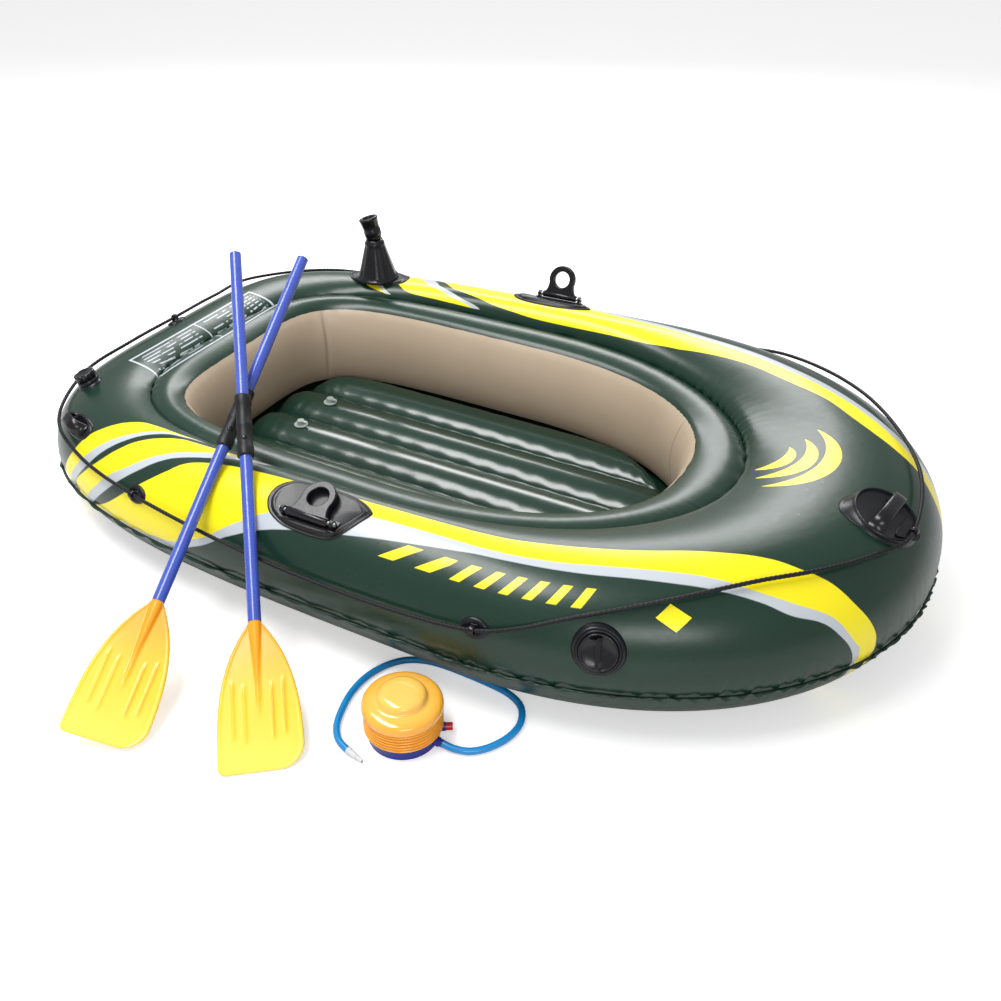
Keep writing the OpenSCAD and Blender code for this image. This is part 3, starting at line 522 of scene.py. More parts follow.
port_crescents = [
    {"aft": [(-20, 137), (22, 133.6), (60, 131.8), (88, 130), (120, 129), (136, 127.8), (150, 125.6),
             (157, 124.4)],
     "fore": [(-20, 134.4), (26, 131.2), (60, 129), (90, 127.6), (120, 126.8), (140, 125.8), (157, 124.4)],
     "white": [(-20, 133.8), (26, 129.9), (60, 127.9), (90, 126.6), (120, 125.8), (140, 124.9),
               (160, 123.4)]},
    {"aft": [(-20, 132.8), (20, 130), (54, 127), (90, 124), (120, 122.4), (142, 120.2), (151, 116.5),
             (157, 112.5)],
     "fore": [(-20, 131.4), (12, 128), (46, 124.2), (66, 121.4), (108, 117.4), (130, 115.4), (150, 113),
              (157, 112.5)],
     "white": [(-20, 130.2), (12, 126.6), (46, 122.9), (66, 119.8), (108, 115.9), (130, 114), (150, 111.8),
               (159, 111.4)]}]


print("bands drawn from", sum(len(v) for v in starboard_band.values()), "places on each side")

# %% [markdown]
# ## The film's finish
#
# Inflated film is satin and never quite even: it pulls a little between its welds. All the films
# of the boat share that look and differ in colour and gloss, so one function makes them.

# %% Film
def film(name, **uniform):
    """Inflated vinyl film: satin, with a faint unevenness and slight pulls."""
    satin = {"Roughness": 0.3, "Specular_IOR_Level": 0.4, "Coat_Weight": 0.1, "Coat_Roughness": 0.2}
    made = Finish(name, **{**satin, **uniform})
    pulls = made.noise(9, 3) * 0.8 + made.noise(60, 2) * 0.12
    return made.bump(pulls, 0.004, 0.35)


green_film = film("dark green film")
print("made", green_film.material.name)

# %% [markdown]
# ## Printing the bands
#
# The tube's skin carries its two angles as coordinates, and the shader turns them back into
# degrees. An edge becomes a curve node that gives an angle for an angle, and a band is where the
# section lies between two such curves. Nothing is painted, so an edge is sharp at any size.

# %% Printed bands
def inside(value, low_edge, high_edge, soft):
    """1 between two edges and 0 outside them."""
    return (value - low_edge).step(-soft, soft) * (high_edge - value).step(-soft, soft)


u, v, _ = green_film.parts(green_film.place("UV"))
turned, section = u * 360 - 180, v * 270 - 90
from_bow = abs(turned)
across = from_bow / 180
over = (section + 90) / 270


def long_band(edges):
    line = {k: green_film.curve(across, [(t / 180, a) for t, a in pts], -60, 200) for k, pts in edges.items()}
    ends = inside(from_bow, edges["top"][0][0], edges["top"][-1][0], 0.3)
    return (inside(section, line["low"], line["top"], 0.6) * ends,
            inside(section, line["white"], line["low"] + 1, 0.6) * ends)


def crescent(edges):
    line = {k: green_film.curve(over, [((a + 90) / 270, t) for a, t in pts], 90, 150)
            for k, pts in edges.items()}
    tips = (section < edges["fore"][-1][0])
    return (inside(from_bow, line["fore"], line["aft"], 0.12) * tips,
            inside(from_bow, line["white"], line["fore"] + 0.1, 0.12) * tips)


def prints(band, crescents):
    found = [long_band(band)] + [crescent(c) for c in crescents]
    return [found[0][k].most(found[1][k]).most(found[2][k]) for k in (0, 1)]


port_side = turned > 0
yellow_print, white_print = [
    p * port_side + s * (1 - port_side)
    for p, s in zip(prints(port_band, port_crescents), prints(starboard_band, starboard_crescents))]
print("bands printed with", len(green_film.tree.nodes), "shader nodes")

# %% [markdown]
# ## Plain marks on deck
#
# The film also has some marks: a row on the starboard side, one on the foredeck and an outlined
# panel on the stern. They are plain shapes here: slanted bars and a diamond, three nested waves,
# and a panel of rules and boxes, without any lettering or picture.

# %% Marks
x, y, _ = green_film.parts(green_film.place())


def bars_mark():
    """Slanted bars along the starboard side, and a diamond ahead of them."""
    lean = (from_bow - 68 + (section - 54) * 0.16) / 29
    slants = inside((lean * 8) % 1, 0.2, 0.62, 0.02)
    bars = inside(lean, 0.0, 1.0, 0.004) * inside(section, 48, 62, 0.5) * slants
    diamond = (abs(from_bow - 56.5) / 2.6 + abs(section - 46) / 9 < 1)
    return (bars + diamond).least(1) * (1 - port_side)


def waves_mark():
    """Three nested waves on the foredeck."""
    dx, dy = x - 0.60, y - 0.05
    turn = green_film.math("ARCTAN2", dy, dx)
    out = (dx * dx + dy * dy) ** 0.5
    marks = None
    for radius, width, tilt in ((0.05, 0.013, -0.5), (0.088, 0.015, -0.35), (0.128, 0.017, -0.2)):
        swell = 1 - ((turn - tilt) / 1.15) ** 2
        wave = inside(abs(out - radius), -1, swell.most(0) * width, 0.0008) * (swell > 0.02)
        marks = wave if marks is None else marks.most(wave)
    return marks * (x > 0.5)


def panel_mark():
    """An outlined panel on the stern deck, split in two, with plain rules in it."""
    along, deep = (y + 0.226) / 0.44, (x + 0.822) / 0.098
    frame_line = inside(along, 0, 1, 0.002) * inside(deep, 0, 1, 0.01)
    inner = inside(along, 0.012, 0.988, 0.002) * inside(deep, 0.05, 0.95, 0.01)
    split = inside(along, 0.497, 0.505, 0.002)
    rules = inside((deep * 9) % 1, 0.3, 0.62, 0.06) * inside(deep, 0.12, 0.9, 0.02)
    ragged = green_film.noise(40, 2) > 0.47
    first = rules * inside(along, 0.05, 0.45, 0.003)
    second = rules * inside(along, 0.55, 0.80, 0.003)
    boxes = inside((along * 22) % 1, 0.15, 0.85, 0.03) * inside(along, 0.84, 0.965, 0.003) * rules
    body = (split + (first + second) * ragged * 0.8 + boxes).least(1)
    return (frame_line * (1 - inner) + inner * body).least(1) * (section > 90)


yellow_print = yellow_print.most(bars_mark()).most(waves_mark())
white_print = white_print.most(panel_mark())
depth = green_film.noise(2.5, 2)
base = green_film.mix(depth, tuple(c * 0.85 for c in green), tuple(c * 1.2 for c in green))
base = green_film.mix(white_print, base, white)
base = green_film.mix(yellow_print, base, yellow)
scuffs = green_film.noise(130, 3)
green_film.set(Base_Color=base, Roughness=scuffs * 0.12 + 0.24)
print("marks added")

# %% [markdown]
# ## Outer tube
#
# The tube is film welded flat and blown up, so it is smooth on top and puckers where a seam holds
# it back: all round the outside seam, where short creases run up from the weld, and more faintly
# at the deck weld. The creases are real dents in the mesh: waves of several lengths added up,
# which die away from the seam.

# %% Outer tube
seam_a = -12
around = 720
section_a = np.concatenate([np.arange(-90, -28, 6.0), np.arange(-28, 6, 1.6), np.arange(6, 150, 4.5),
                            np.arange(150, 180.1, 2.5)])


def creases(t, seed, count=9, longest=60, shortest=190):
    """Waves round the hull, from -1 to 1, the same at every run."""
    draw = np.random.default_rng(seed)
    wave = sum(np.sin(np.radians(t * k) + p) for k, p in
               zip(draw.integers(longest, shortest, count), draw.uniform(0, 6.28, count)))
    return wave / count**0.5


hull = Stations(np.arange(around) * 360 / around - 180)
points = hull.skin(section_a)
along_hull = unit(np.roll(points, -1, 0) - np.roll(points, 1, 0))
up_section = unit(np.gradient(points, axis=1))
outward = unit(np.cross(along_hull, up_section))
near_seam = np.exp(-np.abs(section_a - seam_a) / 7.5)[None]
near_weld = np.exp(-(180 - section_a) / 9)[None]
pucker = creases(hull.t, 3)[:, None]
weld_pucker = creases(hull.t, 8, 7, 40, 110)[:, None]
lift = 0.0016 * pucker * near_seam - 0.0026 * near_seam**2 + 0.0012 * weld_pucker * near_weld
points = points + outward * lift[..., None]


def skin_uv(rows, columns):
    return np.stack([rows / around, (section_a[columns] + 90) / 270], -1)


outer_skin = grid_piece("outer_tube_skin", points, green_film, "hull", wrap_rows=True, uv_of=skin_uv)
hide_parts("outer_chamber")
print("outer tube", len(outer_skin.data.polygons), "faces")

# %% [markdown]
# ## Outside seam
#
# The two films of the tube are welded along a narrow flange that stands out all round, low on the
# side. Its free edge isn't straight: it ripples and scallops where the film was pulled in. So the
# flange is a thin strip whose edge waves up and down and in and out.

# %% Seam flange
seam_w = 0.009


def seam_strip():
    root = hull.skin([seam_a])[:, 0]
    above, below = hull.skin([seam_a + 1])[:, 0], hull.skin([seam_a - 1])[:, 0]
    lift_dir = unit(above - below)
    side = unit(np.cross(unit(np.roll(root, -1, 0) - np.roll(root, 1, 0)), lift_dir))
    ripple = pucker * 0.0028 + creases(hull.t, 14, 9, 90, 300)[:, None] * 0.001
    reach_out = seam_w * (0.72 + 0.2 * np.clip(creases(hull.t, 21, 9, 60, 200), -1, 1))[:, None]
    upper_half = ((-0.004, 0.0011), (0.5, 0.0011), (1.0, 0.0009))
    loops = []
    for out, thick in upper_half + tuple((out, -thick) for out, thick in upper_half[::-1]):
        wave = ripple * max(out, 0) ** 1.5
        loops.append(root + side * reach_out * out + lift_dir * (wave + thick))
    return np.stack(loops, 1)


plain_green = film("dark green film edge", Roughness=0.34)
tone = plain_green.noise(14)
plain_green.set(Base_Color=plain_green.mix(tone, tuple(c * 0.7 for c in green),
                                           tuple(c * 1.15 for c in green)))
flange = grid_piece("seam_flange_strip", seam_strip(), plain_green, "hull", wrap_rows=True, wrap_columns=True)
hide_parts("seam_flange")
print("seam flange", len(flange.data.polygons), "faces")

# %% [markdown]
# ## Bottom
#
# The bottom is one flat sheet welded under the tube. It is a thin slab with the tube's outline,
# with the edge rounded over, and it is what the boat stands on.

# %% Bottom sheet
edge_xy = hull.at((hull.c * 0.7)[:, None], 0)[:, 0]
spine = np.stack([np.clip(edge_xy[:, 0], -0.45, 0.45), np.zeros(around), np.zeros(around)], -1)
sheet_rings = []
for part, up in ((0, 0), (0.4, 0), (0.8, 0), (0.97, 0), (0.998, 0.0003), (1, 0.001), (0.998, 0.0017),
                 (0.97, sheet_t), (0.8, sheet_t), (0.4, sheet_t), (0, sheet_t)):
    sheet_rings.append(spine + (edge_xy - spine) * part + (0, 0, up))
bottom = grid_piece("bottom_sheet_skin", np.stack(sheet_rings, 1), plain_green, "hull", wrap_rows=True,
                    flip=True)
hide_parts("bottom_sheet")
print("bottom sheet", len(bottom.data.polygons), "faces")

# %% [markdown]
# ## Inner tube and cockpit wall
#
# Between the deck weld and the cockpit lies a second, smaller air chamber. Its top is green film
# and its inside face is beige. The two are separate films, so they are separate pieces. The top
# is a low crown between the deck weld and the cockpit's rim, drawn with the same sections.

# %% Inner tube's top
lobe_rise, wall_bulge, wall_foot, wall_foot_h = 0.015, 0.026, 0.006, 0.038
lobe_s = np.linspace(0, 1, 15)
width = (hull.rim - hull.weld)[:, None]
lobe_up = np.sin(np.pi * lobe_s) ** 0.62
edge_pull = np.exp(-lobe_s * 9)[None] * weld_pucker * 0.001
lobe_z = weld_h + (rim_h - weld_h) * lobe_s + lobe_rise * lobe_up + edge_pull
points = hull.at(hull.weld[:, None] + width * lobe_s, lobe_z)
lobe = grid_piece("inner_tube_top", points, green_film, "hull", wrap_rows=True,
                  uv_of=lambda r, c: np.stack([r / around, np.ones(r.shape)], -1))
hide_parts("inner_chamber")
print("inner tube top", len(lobe.data.polygons), "faces")

# %% [markdown]
# ## Cockpit wall
#
# The wall bulges into the cockpit most above its middle, and where the hull turns its four
# corners the beige film is joined in an upright seam, which pulls the bulge in. The low end of
# the wall is in the shade of the bulge, so its colour is darker near the floor.

# %% Cockpit wall
corner_seams = [-141, -44, 44, 141]
wall_s = np.linspace(0, 1, 25)
gap_to_seam = np.min(np.abs((hull.t[:, None] - np.array(corner_seams) + 180) % 360 - 180), axis=1)
seam_dip = np.exp(-(gap_to_seam / 0.75) ** 2)[:, None]
bulge = np.sin(np.pi * wall_s**0.85) ** 0.8
folds = creases(hull.t, 31, 8, 30, 90)[:, None] * np.exp(-wall_s * 12)[None] * 0.0008
inwards = (wall_bulge * bulge + wall_foot * wall_s) - seam_dip * (0.006 * bulge + 0.0008) + folds
points = hull.at(hull.rim[:, None] + 0.0003 + inwards, rim_h + (wall_foot_h - 0.012 - rim_h) * wall_s)
beige_film = film("beige film", Roughness=0.42)
sheen = beige_film.noise(5, 3)
_, _, z = beige_film.parts(beige_film.place())
shade = (z.step(0.02, 0.10) * 0.35 + 0.65)
beige_film.set(Base_Color=beige_film.mix(shade, (0.20, 0.15, 0.105), beige_film.mix(
    sheen, (0.40, 0.315, 0.225), (0.50, 0.40, 0.295))))
wall = grid_piece("cockpit_wall_film", points, beige_film, "hull", wrap_rows=True)
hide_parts("cockpit_wall")
print("cockpit wall", len(wall.data.polygons), "faces")

# %% [markdown]
# ## Inflated floor
#
# The floor is an air bed of five tubes that run fore and aft, welded to each other along narrow
# valleys. At both ends the tubes pinch down to the edge and pull creases into the film. Its
# height is a formula of the place across a tube and the distance from the ends.

# %% Floor
floor_tubes, floor_h, floor_weld_h = 5, 0.050, 0.019
floor_gap = 0.018
floor_half = (rim_b - floor_gap) * 0.985
rows, columns = 181, 221
across_y = np.linspace(-floor_half, floor_half, rows)
fore_power, aft_power = rim_shape[3]
widest_x = rim_x[0] + (rim_x[1] - rim_x[0]) * rim_shape[4]


def floor_end(y, k):
    """Where the floor's edge crosses a line at y: k is -1 at the stern, 1 at the bow."""
    e = fore_power if k > 0 else aft_power
    half = (rim_x[1] - widest_x if k > 0 else widest_x - rim_x[0]) - floor_gap
    return widest_x + k * half * np.maximum(0, 1 - (np.abs(y) / (rim_b - floor_gap)) ** e) ** (1 / e)


def floor_points():
    x1, x2 = floor_end(across_y, -1)[:, None], floor_end(across_y, 1)[:, None]
    s = (1 - np.cos(np.linspace(0, np.pi, columns)))[None] / 2
    x = x1 + (x2 - x1) * s
    from_end = np.minimum(x - x1, x2 - x)
    u = ((across_y + floor_half) / (2 * floor_half / floor_tubes)) % 1
    round_top = np.clip(np.sin(np.pi * u), 0, 1)[:, None] ** 0.6
    end_share = np.clip(from_end / (0.05 + 0.05 * (1 - round_top)), 0, 1)
    end_rise = np.sqrt(np.clip(1 - (1 - end_share) ** 2, 0, 1))
    edge_rise = np.sqrt(np.clip((floor_half - np.abs(across_y)) / 0.02, 0, 1))[:, None]
    ripple = np.sin(x * 210 + np.sin(across_y * 31)[:, None] * 2.3) * np.exp(-from_end / 0.05) * 0.0012
    ripple += np.sin(x * 95 + across_y[:, None] * 40) * (1 - round_top) * 0.0008
    base = 0.006
    z = base + (floor_weld_h + (floor_h - floor_weld_h) * round_top - base) * end_rise * edge_rise + ripple
    return np.stack([x, np.broadcast_to(across_y[:, None], x.shape), z], -1)


floor_film = film("floor film", Roughness=0.2, Coat_Weight=0.5)
tone = floor_film.noise(6, 3)
floor_film.set(Base_Color=floor_film.mix(tone, (0.005, 0.026, 0.0165), (0.008, 0.038, 0.024)))
floor = grid_piece("floor_air_bed", floor_points(), floor_film, "hull", flip=True)
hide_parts("floor_mat")
print("floor", len(floor.data.polygons), "faces")

# %% [markdown]
# ## Moulded black parts
#
# The fittings are soft black vinyl or hard black plastic. Both are nearly black with a slight blue
# cast; the vinyl is satin, with a fine grain, and the plastic shines more and shows faint marks of
# handling.

# %% Black finishes
def moulded(name, dark, light, rough=0.35, grain=900, coat=0.0):
    """Moulded plastic or vinyl: two close tones, a fine grain and uneven gloss."""
    made = Finish(name, Coat_Weight=coat, Coat_Roughness=0.15, Specular_IOR_Level=0.35)
    cloud = made.noise(35, 3)
    made.set(Base_Color=made.mix(cloud, dark, light), Roughness=made.noise(90, 3) * 0.14 + (rough - 0.07))
    return made.bump(made.noise(grain, 2), 0.0003, 0.35)


black_vinyl = moulded("black moulded vinyl", (0.004, 0.004, 0.006), (0.009, 0.010, 0.014), 0.30)
black_plastic = moulded("black hard plastic", (0.003, 0.003, 0.004), (0.007, 0.007, 0.010), 0.24, coat=0.15)
matt_black = moulded("matt black sleeve", (0.004, 0.004, 0.006), (0.009, 0.010, 0.012), 0.45, grain=1400)
print("made", [f.material.name for f in (black_vinyl, black_plastic, matt_black)])

# %% [markdown]
# ## Turned parts
#
# Round parts are turned on a lathe from a half section, which is how their moulds are made. A
# spin modifier would do it too, but with the rings as a grid a flute or a notch is only a change
# of the radius with the angle.

# %% Lathe
def lathe(name, profile, finish, body, place, shape=None, closed=False, turns=72):
    """Turns (radius, height) pairs about the place's Z; shape(angle, pair) scales the radius."""
    angle = np.arange(turns) * 2 * np.pi / turns
    rings = []
    for k, (r, z) in enumerate(profile):
        radius = np.full(turns, max(r, 1e-4)) * (1 if shape is None else shape(angle, k))
        rings.append(np.stack([radius * np.cos(angle), radius * np.sin(angle), np.full(turns, z)], -1))
    points = moved(np.stack(rings), place)
    return grid_piece(name, points, finish, body, wrap_rows=closed, wrap_columns=True,
                      caps=not closed, flip=closed)


def moved(points, place):
    m = np.array(place)
    return points @ m[:3, :3].T + m[:3, 3]


print("lathe ready")

# %% [markdown]
# ## Plates
#
# Flat parts are cut from an outline, as a filled curve with a small bevel, because a curve rounds
# the edges of its holes too. The curve is turned into a mesh at once, so that nothing is left to
# evaluate.

# %% Plates and ovals
def plate(name, loops, thick, edge, finish, body, place):
    """A plate cut from outlines, the first outside and the rest holes, with its edges rounded."""
    curve = bpy.data.curves.new(name, "CURVE")
    curve.dimensions = "2D"
    curve.fill_mode = "BOTH"
    curve.extrude = thick / 2 - edge
    curve.bevel_depth = edge
    curve.bevel_resolution = 2
    curve.offset = -edge
    for loop in loops:
        spline = curve.splines.new("POLY")
        spline.points.add(len(loop) - 1)
        for dot, (px, py) in zip(spline.points, loop):
            dot.co = (px, py, 0, 1)
        spline.use_cyclic_u = True
    cut = bpy.data.objects.new(name, curve)
    bpy.context.scene.collection.objects.link(cut)
    mesh = bpy.data.meshes.new_from_object(cut.evaluated_get(bpy.context.evaluated_depsgraph_get()))
    bpy.data.objects.remove(cut)
    mesh.transform(place)
    mesh.materials.clear()
    mesh.materials.append(finish.material)
    mesh.polygons.foreach_set("use_smooth", [True] * len(mesh.polygons))
    mesh.set_sharp_from_angle(angle=0.7)
    piece = bpy.data.objects.new(name, mesh)
    bpy.context.scene.collection.objects.link(piece)
    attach(piece, body)
    return piece


def oval(half_x, half_y, power=2.0, steps=64):
    k = np.arange(steps) * 2 * np.pi / steps
    c, s = np.cos(k), np.sin(k)
    r = (np.abs(c) ** power + np.abs(s) ** power) ** (-1 / power)
    return np.stack([half_x * c * r, half_y * s * r], -1)


print("plates ready")

# %% [markdown]
# ## Welded pads
#
# A pad is welded to the curved tube round its edge, but its middle is a flat seat for a hard
# fitting. So it is made of rings that go inwards: the outer ones lie on the skin and the inner
# ones on the flat, with the rims raised between them.

# %% Pads
pad_top = 0.0036


def pad(name, at, outline, profile, finish, node):
    """A welded pad, from (share of the outline, 1 on the skin or 0 on the flat, height) inwards."""
    t, a = at
    along, up, out = frame_at(t, a)
    per_t = np.linalg.norm(skin(t + 0.5, a) - skin(t - 0.5, a))
    per_a = np.linalg.norm(skin(t, a + 0.5) - skin(t, a - 0.5))
    flat = skin(t, a) + out * pad_top
    rings = []
    for part, follow, h in profile:
        q = outline * max(part, 0.002)
        on_flat = flat + q[:, :1] * along + q[:, 1:] * up + out * h
        on_skin = off_skin(t + q[:, 0] / per_t, a + q[:, 1] / per_a, h)
        rings.append(on_flat * (1 - follow) + on_skin * follow)
    piece = grid_piece(name, np.stack(rings), finish, "hull", wrap_columns=True, caps=True)
    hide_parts(node)


print("pads ready, their flats", pad_top, "m off the skin")

# %% [markdown]
# ## Handles
#
# At the bow a round dish of vinyl is welded on, with a raised rim, and an arched strap is moulded
# across it to lift the boat by. A flat lug on its outer side holds the grab line. The stern
# quarter has a smaller oval pad with the same strap.

# %% Handles
bow_handle_at, stern_handle_at = (-8, 70), (-135, 50)
finger_h, bar_w, bar_t = 0.024, 0.024, 0.008
lug_out = 0.054
stand_up = Matrix.Rotation(math.radians(90), 4, "X")


def strap(name, at, length, node):
    """An arched bar, bowed a little and thicker at its edges."""
    u = np.linspace(-1, 1, 41)
    arch = np.maximum(1 - np.abs(u) ** 4, 0) ** 0.5
    middle = np.stack([u * (length / 2 - 0.007), 0 * u, arch * (finger_h + bar_t / 2)], -1)
    middle[:, 2] += (1 - arch) * 0.001
    thick = bar_t * (1 + 0.35 * np.abs(u) ** 6)
    wide = bar_w * (1 + 0.25 * np.abs(u) ** 8)
    across = np.array([-0.5, -0.5, -0.46, -0.36, -0.30, 0, 0.30, 0.36, 0.46, 0.5, 0.5, 0.45, 0, -0.45])
    high = np.array([-0.2, 0.25, 0.5, 0.5, 0.32, 0.30, 0.32, 0.5, 0.5, 0.25, -0.2, -0.5, -0.5, -0.5])
    line = sweep(middle, np.array([0, -1.0, 0]) + 0 * middle,
                 lambda i: np.stack([high * thick[i], across * wide[i]], -1))
    piece = grid_piece(name, moved(line, placed(*at, pad_top)), black_plastic, "hull",
                       wrap_columns=True, caps=True)
    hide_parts(node)


dish = [(1, 1, -0.0008), (1, 1, 0.0018), (0.975, 1, 0.0026), (0.94, 0.9, 0.003), (0.905, 0.25, 0.0015),
        (0.885, 0, 0.002), (0.87, 0, 0.0058), (0.845, 0, 0.0068), (0.82, 0, 0.0056), (0.80, 0, 0.0008),
        (0.78, 0, 0), (0.4, 0, 0.0), (0, 0, 0)]
pad("bow_handle_dish", bow_handle_at, oval(0.070, 0.070), dish, black_vinyl, "bow_handle_pad")
strap("bow_handle_strap", bow_handle_at, 0.116, "bow_handle")
low_rim = [(1, 1, -0.0008), (1, 1, 0.0018), (0.95, 1, 0.003), (0.88, 0.6, 0.0036), (0.80, 0.1, 0.002),
           (0.74, 0, 0), (0, 0, 0)]
pad("stern_handle_oval", stern_handle_at, oval(0.049, 0.026, 2.4), low_rim, black_vinyl, "stern_handle_pad")
strap("stern_handle_strap", stern_handle_at, 0.074, "stern_handle")
lug = smooth_line([(-0.030, -0.034), (-0.012, -0.030), (0.012, -0.030), (0.030, -0.034), (0.022, -0.052),
                   (0.008, -0.068), (-0.008, -0.068), (-0.022, -0.052)], 6, True)
lug_plate = plate("bow_lug_plate", [lug], 0.003, 0.0012, black_vinyl, "hull",
                  placed(*bow_handle_at, pad_top + 0.0018))
print("handles made")

# %% [markdown]
# ## Oarlocks
#
# An oarlock is a ring on a broad foot that hinges on a steel pin. Its pad is shaped like a leaf,
# round towards the stern and pointed towards the bow, with two raised rims. On the port side the
# ring stands up and on the starboard side it lies folded inwards. The base and the pin are plain
# enough to stay as they are, with their own finishes.

# %% Oarlock pads and rings
oarlock_at = (104, 68)
leaf_places = [(-1, 0), (-0.95, 0.45), (-0.76, 0.82), (-0.42, 0.98), (0, 1.0), (0.42, 0.93), (0.76, 0.76),
               (0.98, 0.50), (0.99, 0.32), (0.88, -0.06), (0.72, -0.52), (0.55, -0.86), (0.32, -0.98),
               (-0.1, -1.0), (-0.5, -0.93), (-0.82, -0.66), (-0.96, -0.32)]
leaf = smooth_line(leaf_places, 5, True) * (0.108, 0.054)
two_rims = [(1, 1, -0.0008), (1, 1, 0.0016), (0.985, 1, 0.0030), (0.955, 1, 0.0034), (0.93, 1, 0.0018),
            (0.91, 1, 0.0018), (0.89, 0.8, 0.0042), (0.86, 0.5, 0.0044), (0.835, 0.15, 0.0014),
            (0.80, 0, 0), (0.4, 0, 0), (0, 0, 0)]
smoky = moulded("smoky vinyl", (0.004, 0.004, 0.005), (0.013, 0.014, 0.016), 0.30, coat=0.1)
pad("port_oarlock_leaf", oarlock_at, leaf[::-1] * (-1, 1), two_rims, black_vinyl, "port_oarlock_pad")
pad("starboard_oarlock_leaf", (-oarlock_at[0], oarlock_at[1]), leaf, two_rims, smoky,
    "starboard_oarlock_pad")

pin_y, pin_h, foot = -0.028, 0.011, 0.046
ring_r, ring_bore_r, ring_t, ring_rise = 0.035, 0.0205, 0.012, 0.042
waist, flare = 0.0335, 2.4
barrel_profile = [(0.0042, -foot), (0.007, -foot), (0.008, -foot + 0.001), (0.008, foot - 0.001),
                  (0.007, foot), (0.0042, foot)]


def ring_outline():
    up = np.linspace(0, 1, 12)
    side = np.stack([waist + (foot - waist) * (1 - up) ** flare, ring_rise * 0.78 * up], -1)
    arc = np.radians(np.linspace(-12, 192, 60))
    top = np.stack([ring_r * np.cos(arc), ring_rise + ring_r * np.sin(arc)], -1)
    return np.concatenate([side, top, side[::-1] * (-1, 1)])


def circle(radius, centre, steps=64):
    return oval(radius, radius, steps=steps)[::-1] + centre


for name, t, fold in (("port", oarlock_at[0], 0), ("starboard", -oarlock_at[0], -90)):
    hinge = (placed(t, oarlock_at[1], pad_top) @ Matrix.Translation((0, pin_y, pin_h))
             @ Matrix.Rotation(math.radians(fold), 4, "X"))
    ring = plate(f"{name}_ring_plate", [ring_outline(), circle(ring_bore_r, (0, ring_rise))], ring_t, 0.0022,
                 black_plastic, f"{name}_ring", hinge @ stand_up)
    barrel = lathe(f"{name}_ring_barrel", barrel_profile, black_plastic, f"{name}_ring",
                   hinge @ Matrix.Rotation(math.radians(90), 4, "Y"), closed=True, turns=32)
    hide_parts(f"{name}_oarlock_ring")
print("oarlocks made")

# %% [markdown]
# ## Rod holder
#
# A tall cone stands on an oval pad at the port quarter. It is moulded with upright flutes, and its
# head turns in the cone's neck: a collar with a tilted cup for the butt of a fishing rod. All of
# it is turned on the lathe; the flutes come from a wave on the radius.

# %% Rod holder
rod_at, cone_h, rod_bore_r, cup_tilt = (127, 90), 0.107, 0.0165, 14
wide_rim = [(1, 1, -0.0008), (1, 1, 0.0018), (0.975, 1, 0.0030), (0.94, 1, 0.0032), (0.92, 1, 0.0018),
            (0.88, 0.7, 0.003), (0.84, 0.3, 0.0015), (0.8, 0, 0), (0, 0, 0)]
pad("rod_holder_oval", rod_at, oval(0.082, 0.060, 2.2), wide_rim, black_vinyl, "rod_holder_pad")
cone_profile = [(0.050, 0.0003), (0.0552, 0.0004), (0.056, 0.002), (0.0555, 0.0045), (0.0535, 0.0065),
                (0.0505, 0.010), (0.0485, 0.016), (0.042, 0.038), (0.035, 0.062), (0.0285, 0.085),
                (0.0262, 0.094), (0.0262, 0.098), (0.0232, 0.101), (0.0222, 0.104), (0.0215, 0.1065),
                (0.0140, 0.1068), (0.0132, 0.1062)]


def flutes(angle, k):
    deep = 0.030 if 5 <= k <= 10 else 0
    return 1 - deep * np.abs(np.sin(angle * 5)) ** 3


rod_frame = placed(*rod_at, pad_top)
cone = lathe("rod_holder_fluted_cone", cone_profile, black_plastic, "hull", rod_frame, flutes, turns=120)
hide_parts("rod_holder_cone")
head_frame = rod_frame @ Matrix.Translation((0, 0, cone_h))
collar_profile = [(0.006, 0.0003), (0.0165, 0.0003), (0.0175, 0.0012), (0.0192, 0.0055), (0.0192, 0.0085),
                  (0.0175, 0.010), (0.010, 0.0105)]
collar = lathe("rod_head_collar", collar_profile, black_plastic, "rod_head", head_frame)
cup_profile = [(0.012, 0.0), (0.0195, 0.0008), (0.0222, 0.003), (0.0222, 0.018), (0.0212, 0.020),
               (0.0212, 0.030), (0.0222, 0.032), (0.0228, 0.043), (0.0246, 0.0455), (0.0248, 0.0505),
               (0.0236, 0.052), (0.0180, 0.052), (rod_bore_r, 0.0505), (rod_bore_r, 0.0062), (0.012, 0.006)]
cup = lathe("rod_head_cup", cup_profile, black_plastic, "rod_head",
            head_frame @ Matrix.Translation((0, 0, 0.006)) @ Matrix.Rotation(math.radians(cup_tilt), 4, "Y"),
            lambda angle, k: 1 + (0.02 * np.cos(angle * 12) if 3 <= k <= 7 else 0))
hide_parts("rod_holder_head")
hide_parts("rod_holder_head")
print("rod holder made")

# %% [markdown]
# ## Valves
#
# The large valve on the starboard bow quarter is a domed flange with a deep cup, closed by a flat
# screw cap with a raised grip across it. The small one at the stern has a tall cap with finger
# notches. Under each cap lies a rubber flap that stops the air, kept as it is.

